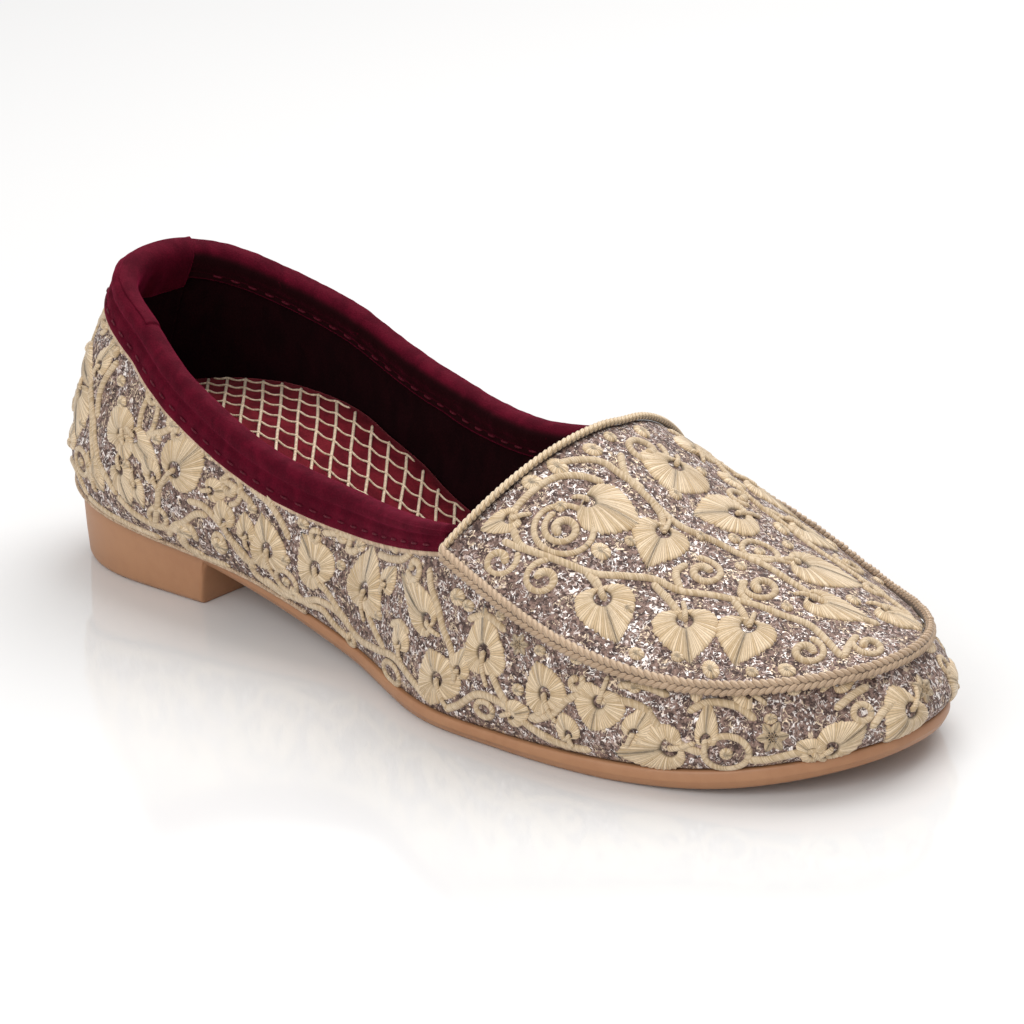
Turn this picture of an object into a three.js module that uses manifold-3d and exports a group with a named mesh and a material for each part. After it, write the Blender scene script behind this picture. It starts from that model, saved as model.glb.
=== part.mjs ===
// A right-foot mojari: a flat slip-on shoe with a hand-lasted cloth upper on a moulded sole.
// Millimetres. +X runs from heel to toe, +Y to the inner (medial) side of the foot, +Z up.
// The shoe stands on its heel and forefoot at z = 0, and its box is centred over the origin.
import * as THREE from "three";
import { mergeVertices } from "three/addons/utils/BufferGeometryUtils.js";
import Module from "manifold-3d";

const wasm = await Module();
wasm.setup();

// ---- Driving dimensions ----
const LENGTH = 245;        // of the footprint, heel tip to toe tip
const GAP = 0.3;           // between pieces that meet
const WALL = 2;            // cloth, stiffener and lining of the upper, together
const HEEL_CAP = { length: 34, power: 2.25 };
const TOE_CAP = { length: 74, power: 2.15, skew: -0.4 };
const THROAT = { x: 150.5, scoop: 9 };              // corners of the vamp, and how far its middle lies forward
const SEAM_TIP = 4.9;      // how far the apron's tip stays behind the footprint's tip
const APRON = { power: 2.1, lip: 0.3, rows: 20, columns: 20 };
const HEEL_BLOCK = { breast: 55.5, fillet: 3, taper: 0.5 };
const TOPLINE_DROP = 2.3;  // the cloth stops this far under the top of the binding
const APRON_CORD = { radius: 1.7, outward: 0.9, up: 0.35, sides: 8 };
const THROAT_CORD = { radius: 1.1, back: 0.35, up: 0.94, sides: 8 };
const FOOTBED = { clearance: 1.1, shoulder: 3.5, shoulderDrop: 2.6 };

// Half widths of the footprint each side of the centre line.
const FOOTPRINT = [
  { x: 34, lateral: 28, medial: 28.5 },
  { x: 75, lateral: 28.3, medial: 30 },
  { x: 110, lateral: 33, medial: 31.6 },
  { x: 148, lateral: 46.2, medial: 42.4 },
  { x: 170, lateral: 47, medial: 42.7 },
];
// Height of the feather line, where the upper meets the sole.
const FEATHER = [
  { x: 0, z: 20 }, { x: 35, z: 15 }, { x: 75, z: 11.5 }, { x: 110, z: 6.2 },
  { x: 150, z: 4 }, { x: 185, z: 4.4 }, { x: 215, z: 5.6 }, { x: 245, z: 10 },
];
// Underside of the sole forward of the heel block: shank, flat forefoot and toe spring.
const UNDERSIDE = [
  { x: 58, z: 10.6 }, { x: 80, z: 7 }, { x: 110, z: 2.2 }, { x: 140, z: 0 },
  { x: 196, z: 0 }, { x: 220, z: 1.4 }, { x: 245, z: 5.8 },
];
// Topline of the collar: its height, how far it lies forward of the footprint's own point there,
// and how far it leans in from the footprint on each side.
const INNER_RISE = { x: 42, reach: 15, height: 1.5 };  // the medial side of the collar is fuller here
const TOPLINE = [
  { x: 0, z: 75.6, lean: 18.6, lateral: 3, medial: 4 },
  { x: 20, z: 67.2, lean: 15.8, lateral: 6, medial: 2.4 },
  { x: 45, z: 57, lean: 11, lateral: 1.2, medial: -2.4 },
  { x: 75, z: 47.2, lean: 7.5, lateral: -2, medial: -3 },
  { x: 110, z: 42, lean: 4, lateral: 2, medial: 0.5 },
  { x: 150.5, z: 45.7, lean: 0, lateral: 6.2, medial: 5.6 },
];
// Seam between side wall and apron: its height, and how far it lies inside the footprint.
const SEAM = [
  { x: 150.5, z: 40.7, inset: 3.9 }, { x: 172, z: 33.4, inset: 2.3 }, { x: 190, z: 28.1, inset: 1.4 },
  { x: 215, z: 23.3, inset: 3 }, { x: 245, z: 24.8, inset: 5.6 },
];
// Height of the apron's crest along the centre line.
const CREST = [
  { x: 130, z: 68 }, { x: 150.5, z: 62 }, { x: 172, z: 52.8 }, { x: 190, z: 42.4 },
  { x: 215, z: 33.2 }, { x: LENGTH - SEAM_TIP, z: 24.8 },
];
// How far the sole's edge stands outside the upper's foot: the heel is cut back under the upper.
const SOLE_RIM = [{ x: 0, out: -0.4 }, { x: 60, out: 0 }, { x: 120, out: 1 }];
// Top of the padded footbed, which has a foam wedge under the heel.
const FOOTBED_TOP = [
  { x: 0, z: 35.8 }, { x: 32, z: 35.8 }, { x: 50, z: 32.8 }, { x: 70, z: 25 }, { x: 88, z: 17.2 },
  { x: 106, z: 12 }, { x: 126, z: 9.2 }, { x: 150, z: 8 }, { x: 185, z: 8.4 }, { x: 215, z: 9.6 },
  { x: 245, z: 14 },
];
// How far the side wall swells out of the straight line between feather and top.
const SWELL = [
  { x: 0, out: 6.4 }, { x: 40, out: 7 }, { x: 90, out: 3.6 }, { x: 150, out: 1.8 }, { x: 245, out: 4.6 },
];
// Height of the binding's outer flange along the topline.
const FLANGE = [{ x: 0, depth: 8.6 }, { x: 110, depth: 8.6 }, { x: 150.5, depth: 5.4 }];

// Section of the collar binding: out from the wall's face, and down from the topline as a length
// plus a share of the flange's height. The slot under its roll takes the wall's top edge.
const SLOT = { out: GAP + 0.05, in: -WALL - GAP - 0.1, roof: TOPLINE_DROP - GAP };
const BINDING = [
  { out: SLOT.out, down: 0, share: 1 },
  { out: 1.3, down: 0, share: 1 },
  { out: 1.75, down: 0, share: 0.72 },
  { out: 2, down: 0, share: 0.38 },
  { out: 1.5, down: 1, share: 0 },
  { out: 0.3, down: 0.1, share: 0 },
  { out: -1.1, down: -0.2, share: 0 },
  { out: -2.5, down: 0.1, share: 0 },
  { out: -3.5, down: 1.2, share: 0 },
  { out: -3.9, down: 0, share: 0.38 },
  { out: -3.5, down: 0, share: 0.72 },
  { out: -3.3, down: 0, share: 1 },
  { out: SLOT.in, down: 0, share: 1 },
  { out: SLOT.in, down: SLOT.roof, share: 0 },
  { out: SLOT.out, down: SLOT.roof, share: 0 },
];
// Edge of the sole from top to bottom: out from its rim, and down as a share of its height
// plus a length.
const SOLE_SIDE = [
  { out: -0.5, share: 0, down: 0 },
  { out: 0, share: 0, down: 0.6 },
  { out: 0.1, share: 0.5, down: 0 },
  { out: -0.3, share: 1, down: -1.3 },
  { out: -0.9, share: 1, down: -0.4 },
  { out: -2, share: 1, down: 0 },
];
// Side of the footbed from its top to its foot: in from the wall as a share of the shoulder's width,
// and up as a share of the height under the shoulder plus a share of the shoulder's drop.
const FOOTBED_SIDE = [
  { in: 1, share: 1, drop: 0 },
  { in: 0.55, share: 1, drop: 0.12 },
  { in: 0.2, share: 1, drop: 0.42 },
  { in: 0, share: 1, drop: 1 },
  { in: 0, share: 0.5, drop: 1 },
  { in: 0, share: 0, drop: 1 },
];

// ---- Curves ----
const mix = (a, b, t) => a + (b - a) * t;
const clamp = (v, low, high) => Math.min(high, Math.max(low, v));
const smooth = (v) => { const t = clamp(v, 0, 1); return t * t * (3 - 2 * t); };

// A column of a table as a smooth curve of x: a cubic through its rows, level beyond its ends.
function along(table, column, x) {
  const last = table.length - 1;
  if (x <= table[0].x) return table[0][column];
  if (x >= table[last].x) return table[last][column];
  const slope = (i) => (table[i + 1][column] - table[i][column]) / (table[i + 1].x - table[i].x);
  const tangent = (i) => {
    if (i === 0) return slope(0);
    if (i === last) return slope(last - 1);
    const before = table[i].x - table[i - 1].x;
    const after = table[i + 1].x - table[i].x;
    return (slope(i - 1) * after + slope(i) * before) / (before + after);
  };
  const i = table.findIndex((row, k) => k < last && x < table[k + 1].x);
  const run = table[i + 1].x - table[i].x;
  const t = (x - table[i].x) / run;
  return (2 * t ** 3 - 3 * t ** 2 + 1) * table[i][column] + (t ** 3 - 2 * t ** 2 + t) * run * tangent(i)
    + (3 * t ** 2 - 2 * t ** 3) * table[i + 1][column] + (t ** 3 - t ** 2) * run * tangent(i + 1);
}

// Width of the footprint as a share of its table: 1 along the foot, closing round both caps.
function capShare(x) {
  const back = clamp((HEEL_CAP.length - x) / HEEL_CAP.length, 0, 1);
  const front = clamp((x - LENGTH + TOE_CAP.length) / TOE_CAP.length, 0, 1);
  return (1 - back ** HEEL_CAP.power) ** (1 / HEEL_CAP.power)
    * (1 - front ** TOE_CAP.power) ** (1 / TOE_CAP.power);
}

const centreY = (x) => TOE_CAP.skew * clamp((x - LENGTH + TOE_CAP.length) / TOE_CAP.length, 0, 1) ** 2;
const sideName = (side) => (side < 0 ? "lateral" : "medial");

// A point of an outline inside the footprint at x, on side -1 (lateral) or 1 (medial).
function plan(x, side, inset, share = capShare(x)) {
  return centreY(x) + side * (along(FOOTPRINT, sideName(side), x) - inset) * share;
}

// ---- The last: points of the upper's outer face ----
const feather = ({ x, side }) => new THREE.Vector3(x, plan(x, side, 0), along(FEATHER, "z", x));

function topline({ x, side }) {
  const y = plan(x, side, along(TOPLINE, sideName(side), x));
  const rise = side > 0 ? INNER_RISE.height * Math.exp(-(((x - INNER_RISE.x) / INNER_RISE.reach) ** 2)) : 0;
  return new THREE.Vector3(x + along(TOPLINE, "lean", x), y, along(TOPLINE, "z", x) + rise);
}

// The seam is the footprint's own outline forward of the throat, drawn in and shortened at the toe.
const seamX = (x) => THROAT.x + (x - THROAT.x) * (LENGTH - SEAM_TIP - THROAT.x) / (LENGTH - THROAT.x);
const footX = (sx) => THROAT.x + (sx - THROAT.x) * (LENGTH - THROAT.x) / (LENGTH - SEAM_TIP - THROAT.x);
function seam({ x, side }) {
  return new THREE.Vector3(seamX(x), plan(x, side, along(SEAM, "inset", x)), along(SEAM, "z", x));
}

// Stations round the footprint: lateral side from heel to toe, then medial side from toe to heel.
function stationsOfOneSide() {
  const list = [];
  const HEEL_STEPS = 12, WAIST_STEP = 8, TOE_STEPS = 16;
  for (let i = 0; i < HEEL_STEPS; i++) {
    list.push(HEEL_CAP.length * (1 - Math.cos(i / HEEL_STEPS * Math.PI / 2) ** (2 / HEEL_CAP.power)));
  }
  const flank = LENGTH - TOE_CAP.length - HEEL_CAP.length;
  const steps = Math.round(flank / WAIST_STEP);
  for (let i = 0; i < steps; i++) list.push(HEEL_CAP.length + flank * i / steps);
  for (let i = 0; i <= TOE_STEPS; i++) {
    list.push(LENGTH - TOE_CAP.length
      + TOE_CAP.length * Math.sin(i / TOE_STEPS * Math.PI / 2) ** (2 / TOE_CAP.power));
  }
  return list;
}

function ringOf(xs) {
  const ring = xs.map((x) => ({ x, side: -1 }));
  for (let i = xs.length - 2; i > 0; i--) ring.push({ x: xs[i], side: 1 });
  ring.forEach((station, i) => {
    const before = ring[(i + ring.length - 1) % ring.length];
    const after = ring[(i + 1) % ring.length];
    const run = feather(after).sub(feather(before));
    station.out = new THREE.Vector3(run.y, -run.x, 0).normalize();
  });
  return ring;
}

// The side wall's top: the topline behind the throat, sinking forward of it to just under the apron's rim.
const TUCK = { length: 12, drop: 0.9, inset: 0.3 };
function wallTop(station) {
  const back = topline(station);
  const under = seam(station);
  under.z -= TUCK.drop;
  under.addScaledVector(station.out, -TUCK.inset);
  return back.lerp(under, smooth((station.x - THROAT.x) / TUCK.length));
}
const wallDrop = (station) => TOPLINE_DROP * (1 - smooth((station.x - THROAT.x) / TUCK.length));

// A point of the wall's outer face, t from 0 at the feather line to 1 at the topline:
// the straight line between them, swollen outwards by a curve that is fullest low down.
function wallFace(station, t) {
  const p = feather(station).lerp(wallTop(station), t);
  const swell = 2.6 * clamp(t, 0, 1) ** 0.7 * clamp(1 - t, 0, 1);
  return p.addScaledVector(station.out, along(SWELL, "out", station.x) * swell);
}

// Outward normal of the wall's face at a station of a ring.
function wallNormal(ring, i, t) {
  const STEP = 0.03;
  const a = wallFace(ring[(i + ring.length - 1) % ring.length], t);
  const b = wallFace(ring[(i + 1) % ring.length], t);
  const low = wallFace(ring[i], clamp(t - STEP, 0, 1));
  const high = wallFace(ring[i], clamp(t + STEP, 0, 1));
  return b.sub(a).cross(high.sub(low)).normalize();
}

// A point of the apron's upper face at length x and share u across, -1 at the lateral seam, 1 at the medial.
function apronFace(x, u) {
  const lateral = seam({ x: footX(x), side: -1 });
  const medial = seam({ x: footX(x), side: 1 });
  const across = (u + 1) / 2;
  const rim = mix(lateral.z, medial.z, across);
  const rise = (along(CREST, "z", x) - rim) * (1 - Math.abs(u) ** APRON.power);
  return new THREE.Vector3(x, mix(lateral.y, medial.y, across), rim + rise);
}
const throatX = (u) => THROAT.x + THROAT.scoop * (1 - u * u);

function apronNormal(x, u) {
  const STEP = 0.4;
  const ahead = apronFace(x + STEP, u).sub(apronFace(x - STEP, u));
  const across = apronFace(x, Math.min(1, u + 0.02)).sub(apronFace(x, Math.max(-1, u - 0.02)));
  return ahead.cross(across).normalize();
}

// ---- Solids ----
function solidFrom(points, faces) {
  const geometry = new THREE.BufferGeometry();
  geometry.setAttribute("position", new THREE.Float32BufferAttribute(points.flatMap((p) => p.toArray()), 3));
  geometry.setIndex(faces);
  return toManifold(geometry);
}

function toManifold(geometry) {
  const bare = new THREE.BufferGeometry();
  bare.setAttribute("position", geometry.getAttribute("position"));
  bare.setIndex(geometry.getIndex());
  const merged = mergeVertices(bare, 1e-4);
  const index = Array.from(merged.getIndex().array);
  const kept = [];
  for (let i = 0; i < index.length; i += 3) {
    const [a, b, c] = index.slice(i, i + 3);
    if (a !== b && b !== c && c !== a) kept.push(a, b, c);
  }
  const mesh = new wasm.Mesh({
    numProp: 3,
    vertProperties: new Float32Array(merged.getAttribute("position").array),
    triVerts: new Uint32Array(kept),
  });
  mesh.merge();
  return new wasm.Manifold(mesh);
}

// A closed section carried along stations: sections[i][k]. A closed path joins its ends,
// and an open one is capped by triangulating its flat section.
function sweep(sections, { closed = false, flat = null } = {}) {
  const size = sections[0].length;
  const faces = [];
  const count = sections.length;
  for (let i = 0; i < (closed ? count : count - 1); i++) {
    const j = (i + 1) % count;
    for (let k = 0; k < size; k++) {
      const m = (k + 1) % size;
      faces.push(i * size + k, j * size + k, j * size + m, i * size + k, j * size + m, i * size + m);
    }
  }
  if (!closed) {
    const end = (count - 1) * size;
    const turned = THREE.ShapeUtils.isClockWise(flat);
    for (const [a, b, c] of THREE.ShapeUtils.triangulateShape(flat, [])) {
      const [p, q] = turned ? [c, b] : [b, c];
      faces.push(a, p, q, end + a, end + q, end + p);
    }
  }
  return solidFrom(sections.flat(), faces);
}

// Stacked loops round the footprint, first loop on top, closed across by strips from side to side.
function slab(loops) {
  const size = loops[0].length;
  const faces = [];
  for (let k = 0; k + 1 < loops.length; k++) {
    for (let i = 0; i < size; i++) {
      const j = (i + 1) % size;
      const a = k * size + i, b = k * size + j, c = (k + 1) * size + i, d = (k + 1) * size + j;
      faces.push(a, c, d, a, d, b);
    }
  }
  const bottom = (loops.length - 1) * size;
  for (let i = 0; i < size / 2; i++) {
    const [p, q] = [i, i + 1];
    const [r, s] = [(size - i) % size, size - i - 1];
    faces.push(p, q, s, p, s, r);
    faces.push(bottom + p, bottom + s, bottom + q, bottom + p, bottom + r, bottom + s);
  }
  return solidFrom(loops.flat(), faces);
}

function biggestPiece(solid) {
  const pieces = solid.decompose();
  return pieces.reduce((best, piece) => (piece.volume() > best.volume() ? piece : best));
}

// ---- Sub-parts ----
const sideStations = stationsOfOneSide();
const ring = ringOf(sideStations);

// Side wall: a closed band round the whole shoe, standing just clear of the sole. Grown, it is a cutter
// that leaves a gap of that size round itself.
function sideWall(grow = 0) {
  const ROWS = 9;
  const sections = ring.map((station, i) => {
    const height = wallTop(station).distanceTo(feather(station));
    const top = 1 - wallDrop(station) / height;
    const outer = [];
    const inner = [];
    for (let k = 0; k <= ROWS; k++) {
      const t = top * k / ROWS;
      const p = wallFace(station, t);
      const n = wallNormal(ring, i, t);
      if (k === 0) p.z += GAP;
      const q = p.clone().addScaledVector(n, -WALL - grow);
      if (k === 0) q.z = p.z;
      p.addScaledVector(n, grow);
      if (k === ROWS) [p, q].forEach((point) => { point.z += grow; });
      outer.push(p);
      inner.unshift(q);
    }
    return [...outer, ...inner];
  });
  return sweep(sections, { closed: true });
}

// Apron: the domed vamp over the toes, a sheet one wall thick, from the throat to just short of its tip.
// Grown, it is a cutter too.
function apron(grow = 0) {
  const { rows, columns, lip } = APRON;
  const TIP_CUT = 0.4;
  const sections = [];
  for (let r = 0; r <= rows; r++) {
    const s = 1 - (1 - r / rows) ** 1.7;
    const upper = [];
    const under = [];
    for (let c = 0; c <= columns; c++) {
      const u = Math.sin((c / columns - 0.5) * Math.PI);
      const x = mix(throatX(u), LENGTH - SEAM_TIP - TIP_CUT, s);
      const n = apronNormal(x, u);
      const p = apronFace(x, u);
      p.y += Math.sign(u) * Math.abs(u) ** 8 * (lip + grow) * capShare(footX(x));
      upper.push(p.clone().addScaledVector(n, grow));
      under.unshift(p.clone().addScaledVector(n, -WALL - grow));
    }
    if (r === 0 && grow) [...upper, ...under].forEach((p) => { p.x -= grow; });
    sections.push([...upper, ...under]);
  }
  const flat = sections[0].map((p) => new THREE.Vector2(p.y, p.z));
  return sweep(sections, { flat });
}

const upperSolid = () => biggestPiece(sideWall().add(apron()));

// Sole and heel block in one moulding.
function outsole() {
  const xs = sideStations.filter((x) => Math.abs(x - HEEL_BLOCK.breast - 1) > 3);
  xs.push(HEEL_BLOCK.breast, HEEL_BLOCK.breast + 0.9, HEEL_BLOCK.breast + HEEL_BLOCK.fillet);
  const soleRing = ringOf(xs.sort((a, b) => a - b));
  const loops = SOLE_SIDE.map(({ out, share, down }) => soleRing.map((station) => {
    const top = feather(station);
    const onHeel = 1 - smooth((station.x - HEEL_BLOCK.breast) / HEEL_BLOCK.fillet);
    const base = mix(Math.max(0, along(UNDERSIDE, "z", station.x)), 0, onHeel);
    const inward = HEEL_BLOCK.taper * onHeel * share;
    const p = top.clone().addScaledVector(station.out, along(SOLE_RIM, "out", station.x) + out - inward);
    p.z = mix(top.z, base, share) - down;
    return p;
  }));
  return slab(loops);
}

// Padded footbed, lying on the sole and following the wall's inner face up to its rounded shoulder.
function insole() {
  const { clearance, shoulder, shoulderDrop } = FOOTBED;
  const loops = FOOTBED_SIDE.map((row) => ring.map((station, i) => {
    const base = feather(station).z;
    const height = along(FOOTBED_TOP, "z", station.x) - base - GAP;
    const low = Math.min(shoulderDrop, height * 0.6);
    const up = (height - low) * row.share + low * (1 - row.drop);
    const t = (GAP + up) / (wallTop(station).z - base);
    const p = wallFace(station, t);
    p.addScaledVector(wallNormal(ring, i, t), -WALL - clearance);
    p.addScaledVector(station.out, -shoulder * row.in);
    p.z = base + GAP + (row.share === 0 ? 0 : up);
    return p;
  }));
  return slab(loops);
}

// A cord of round section along points, each with the direction out of the surface it lies on.
// Grown, it is a cutter that is wider and longer by that much.
function cord(route, { radius, sides }, grow = 0) {
  const ring2 = [];
  for (let k = 0; k < sides; k++) {
    const angle = k / sides * 2 * Math.PI;
    ring2.push(new THREE.Vector2(Math.cos(angle), Math.sin(angle)).multiplyScalar(radius + grow));
  }
  const sections = route.map(({ at, out }, i) => {
    const run = route[Math.min(i + 1, route.length - 1)].at.clone().sub(route[Math.max(i - 1, 0)].at).normalize();
    const across = new THREE.Vector3().crossVectors(run, out).normalize();
    const off = new THREE.Vector3().crossVectors(across, run);
    const longer = i === 0 ? -grow : i === route.length - 1 ? grow : 0;
    const middle = at.clone().addScaledVector(run, longer);
    return ring2.map(({ x, y }) => middle.clone().addScaledVector(across, x).addScaledVector(off, y));
  });
  return sweep(sections, { flat: ring2 });
}

// Braid over the seam, from the lateral corner of the throat round the toe to the medial corner.
function apronCordRoute() {
  const { radius, outward, up } = APRON_CORD;
  const START = 0.9;
  const xs = sideStations.filter((x) => x > THROAT.x + 6);
  const round = ringOf([0, THROAT.x - 4, THROAT.x + START, ...xs]);
  return round.filter(({ x }) => x > THROAT.x).map((station) => {
    const out = station.out.clone().multiplyScalar(outward);
    out.z = up;
    return { at: seam(station).addScaledVector(out, radius + GAP + APRON.lip), out };
  });
}

// Twisted cord over the apron's rear edge.
function throatCordRoute() {
  const { radius, back, up } = THROAT_CORD;
  const STEPS = 30, REACH = 0.975;
  const route = [];
  for (let i = 0; i <= STEPS; i++) {
    const u = Math.sin((i / STEPS - 0.5) * Math.PI) * REACH;
    const x = throatX(u);
    const out = apronNormal(x, u).multiplyScalar(up);
    out.x -= back;
    out.normalize();
    route.push({ at: apronFace(x, u).addScaledVector(out, radius + GAP), out });
  }
  return route;
}

// Padded binding folded over the topline, ending at the apron at both corners of the throat.
function collarBinding() {
  const STOP = 0.4;
  const end = sideStations.findIndex((x) => x >= THROAT.x - 4);
  const xs = [...sideStations.slice(0, end), THROAT.x - 2.4, THROAT.x - STOP];
  const size = xs.length;
  const collar = ringOf([...xs, LENGTH - TOE_CAP.length, LENGTH]);
  const order = [];
  for (let i = size - 1; i >= 0; i--) order.push(i);
  for (let i = 1; i < size; i++) order.push(collar.length - i);
  const sections = order.map((i) => {
    const station = collar[i];
    const height = wallTop(station).distanceTo(feather(station));
    const depth = along(FLANGE, "depth", station.x);
    return BINDING.map(({ out, down, share }) => {
      const s = down + share * depth;
      const t = 1 - Math.max(0, s) / height;
      const rise = wallFace(station, 1).sub(wallFace(station, 0.94)).normalize();
      const p = wallFace(station, t).addScaledVector(rise, Math.max(0, -s));
      return p.addScaledVector(wallNormal(collar, i, Math.min(t, 0.97)), out);
    });
  });
  const flat = BINDING.map(({ out, down, share }) => new THREE.Vector2(out, -down - share * FLANGE[0].depth));
  return sweep(sections.reverse(), { flat });
}

const throatCord = () => biggestPiece(cord(throatCordRoute(), THROAT_CORD)
  .subtract(cord(apronCordRoute(), APRON_CORD, GAP))
  .subtract(sideWall(GAP)));

function boundCollar() {
  return biggestPiece(collarBinding()
    .subtract(apron(GAP))
    .subtract(cord(apronCordRoute(), APRON_CORD, GAP))
    .subtract(cord(throatCordRoute(), THROAT_CORD, GAP)));
}

// ---- Scene graph ----
const FINISH = {
  outsole: { color: 0xb5815a, roughness: 0.45 },
  upper: { color: 0xa8977c, roughness: 0.8 },
  collar_binding: { color: 0x5a0c1e, roughness: 0.85 },
  apron_cord: { color: 0xc2ac83, roughness: 0.7 },
  throat_cord: { color: 0xc2ac83, roughness: 0.7 },
  insole: { color: 0x6b1524, roughness: 0.85 },
};

function piece(name, solid) {
  const mesh = solid.getMesh();
  const geometry = new THREE.BufferGeometry();
  geometry.setAttribute("position", new THREE.BufferAttribute(new Float32Array(mesh.vertProperties), 3));
  geometry.setIndex(new THREE.BufferAttribute(new Uint32Array(mesh.triVerts), 1));
  geometry.computeVertexNormals();
  const shown = new THREE.Mesh(geometry, new THREE.MeshStandardMaterial({ ...FINISH[name], metalness: 0 }));
  shown.name = name;
  return shown;
}

const group = new THREE.Group();
group.add(
  piece("outsole", outsole()),
  piece("upper", upperSolid()),
  piece("collar_binding", boundCollar()),
  piece("apron_cord", cord(apronCordRoute(), APRON_CORD)),
  piece("throat_cord", throatCord()),
  piece("insole", insole()),
);
const box = new THREE.Box3().setFromObject(group);
group.position.set(-(box.min.x + box.max.x) / 2, -(box.min.y + box.max.y) / 2, -box.min.z);

export default group;
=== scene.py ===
import bmesh
import bpy
import numpy as np
from mathutils import Matrix, Vector
from mathutils.geometry import tessellate_polygon


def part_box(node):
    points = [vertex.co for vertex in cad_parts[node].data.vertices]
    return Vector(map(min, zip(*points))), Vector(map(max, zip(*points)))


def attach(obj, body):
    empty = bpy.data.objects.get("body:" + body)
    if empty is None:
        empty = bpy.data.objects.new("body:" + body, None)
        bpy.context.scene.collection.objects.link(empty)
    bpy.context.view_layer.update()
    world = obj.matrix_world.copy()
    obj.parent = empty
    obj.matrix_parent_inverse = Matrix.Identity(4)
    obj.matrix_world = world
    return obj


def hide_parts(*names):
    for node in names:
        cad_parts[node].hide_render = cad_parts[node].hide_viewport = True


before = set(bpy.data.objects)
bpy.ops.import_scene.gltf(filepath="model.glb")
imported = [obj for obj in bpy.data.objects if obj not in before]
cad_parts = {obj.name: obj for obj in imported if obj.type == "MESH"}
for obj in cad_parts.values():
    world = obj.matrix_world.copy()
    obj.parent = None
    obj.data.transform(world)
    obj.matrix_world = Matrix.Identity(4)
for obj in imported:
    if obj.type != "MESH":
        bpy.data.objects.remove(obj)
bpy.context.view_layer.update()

# ---- The last: the same tables and curves as the frame's ----
LENGTH = 245
GAP = 0.3
WALL = 2
HEEL_CAP, HEEL_POWER = 34, 2.25
TOE_CAP, TOE_POWER, TOE_SKEW = 74, 2.15, -0.4
THROAT_X, THROAT_SCOOP = 150.5, 9
SEAM_TIP = 4.9
APRON_POWER = 2.1
TOPLINE_DROP = 2.3
TUCK_LENGTH, TUCK_DROP, TUCK_INSET = 12, 0.9, 0.3
HEEL_BREAST, BREAST_FILLET, HEEL_TAPER = 55.5, 3, 0.5
RISE_X, RISE_REACH, RISE_HEIGHT = 42, 15, 1.5   # where the collar stands fuller on the medial side
BULGE_GAIN, BULGE_POWER = 2.6, 0.7


class Table:
    """A short table whose first column is x, read as smooth curves of x."""

    def __init__(self, columns, *rows):
        data = np.array(rows, float).T
        self.x = data[0]
        self.column = dict(zip(columns.split()[1:], data[1:]))

    def __call__(self, name, x):
        """A cubic through the rows, level beyond the ends. A row's tangent is the mean of the slopes on
        its two sides, each weighted by the length of the other side."""
        y, run = self.column[name], np.diff(self.x)
        slope = np.diff(y) / run
        inner = (slope[:-1] * run[1:] + slope[1:] * run[:-1]) / (run[:-1] + run[1:])
        tangent = np.concatenate([slope[:1], inner, slope[-1:]])
        x = np.clip(x, self.x[0], self.x[-1])
        i = np.clip(np.searchsorted(self.x, x, side="right") - 1, 0, len(run) - 1)
        t = (x - self.x[i]) / run[i]
        return ((2 * t**3 - 3 * t**2 + 1) * y[i] + (t**3 - 2 * t**2 + t) * run[i] * tangent[i]
                + (3 * t**2 - 2 * t**3) * y[i + 1] + (t**3 - t**2) * run[i] * tangent[i + 1])


FOOTPRINT = Table("x lateral medial", (34, 28, 28.5), (75, 28.3, 30), (110, 33, 31.6),
                  (148, 46.2, 42.4), (170, 47, 42.7))
FEATHER = Table("x z", (0, 20), (35, 15), (75, 11.5), (110, 6.2), (150, 4), (185, 4.4), (215, 5.6),
                (245, 10))
UNDERSIDE = Table("x z", (58, 10.6), (80, 7), (110, 2.2), (140, 0), (196, 0), (220, 1.4), (245, 5.8))
TOPLINE = Table("x z lean lateral medial", (0, 75.6, 18.6, 3, 4), (20, 67.2, 15.8, 6, 2.4),
                (45, 57, 11, 1.2, -2.4), (75, 47.2, 7.5, -2, -3), (110, 42, 4, 2, 0.5),
                (150.5, 45.7, 0, 6.2, 5.6))
SEAM = Table("x z inset", (150.5, 40.7, 3.9), (172, 33.4, 2.3), (190, 28.1, 1.4), (215, 23.3, 3),
             (245, 24.8, 5.6))
CREST = Table("x z", (130, 68), (150.5, 62), (172, 52.8), (190, 42.4), (215, 33.2),
              (LENGTH - SEAM_TIP, 24.8))
SOLE_RIM = Table("x out", (0, -0.4), (60, 0), (120, 1))
FOOTBED_TOP = Table("x z", (0, 35.8), (32, 35.8), (50, 32.8), (70, 25), (88, 17.2), (106, 12), (126, 9.2),
                    (150, 8), (185, 8.4), (215, 9.6), (245, 14))
SWELL = Table("x out", (0, 6.4), (40, 7), (90, 3.6), (150, 1.8), (245, 4.6))
FLANGE = Table("x depth", (0, 8.6), (110, 8.6), (150.5, 5.4))


def mix(a, b, t):
    """Straight from a to b as t goes from 0 to 1."""
    return a + (b - a) * t


def smooth(v):
    """0 below 0, 1 above 1, and an S between them."""
    t = np.clip(v, 0, 1)
    return t * t * (3 - 2 * t)


def unit(v):
    """Vectors brought to a length of one."""
    return v / np.maximum(np.linalg.norm(v, axis=-1, keepdims=True), 1e-9)


def path_length(points):
    """Length along a path at each of its points."""
    return np.concatenate([[0], np.cumsum(np.linalg.norm(np.diff(points, axis=0), axis=1))])


def cap_share(x):
    """Width of the outline as a share of its table: 1 along the foot, and at each end a superellipse."""
    back = np.clip((HEEL_CAP - x) / HEEL_CAP, 0, 1)
    front = np.clip((x - LENGTH + TOE_CAP) / TOE_CAP, 0, 1)
    return (1 - back**HEEL_POWER) ** (1 / HEEL_POWER) * (1 - front**TOE_POWER) ** (1 / TOE_POWER)


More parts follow.
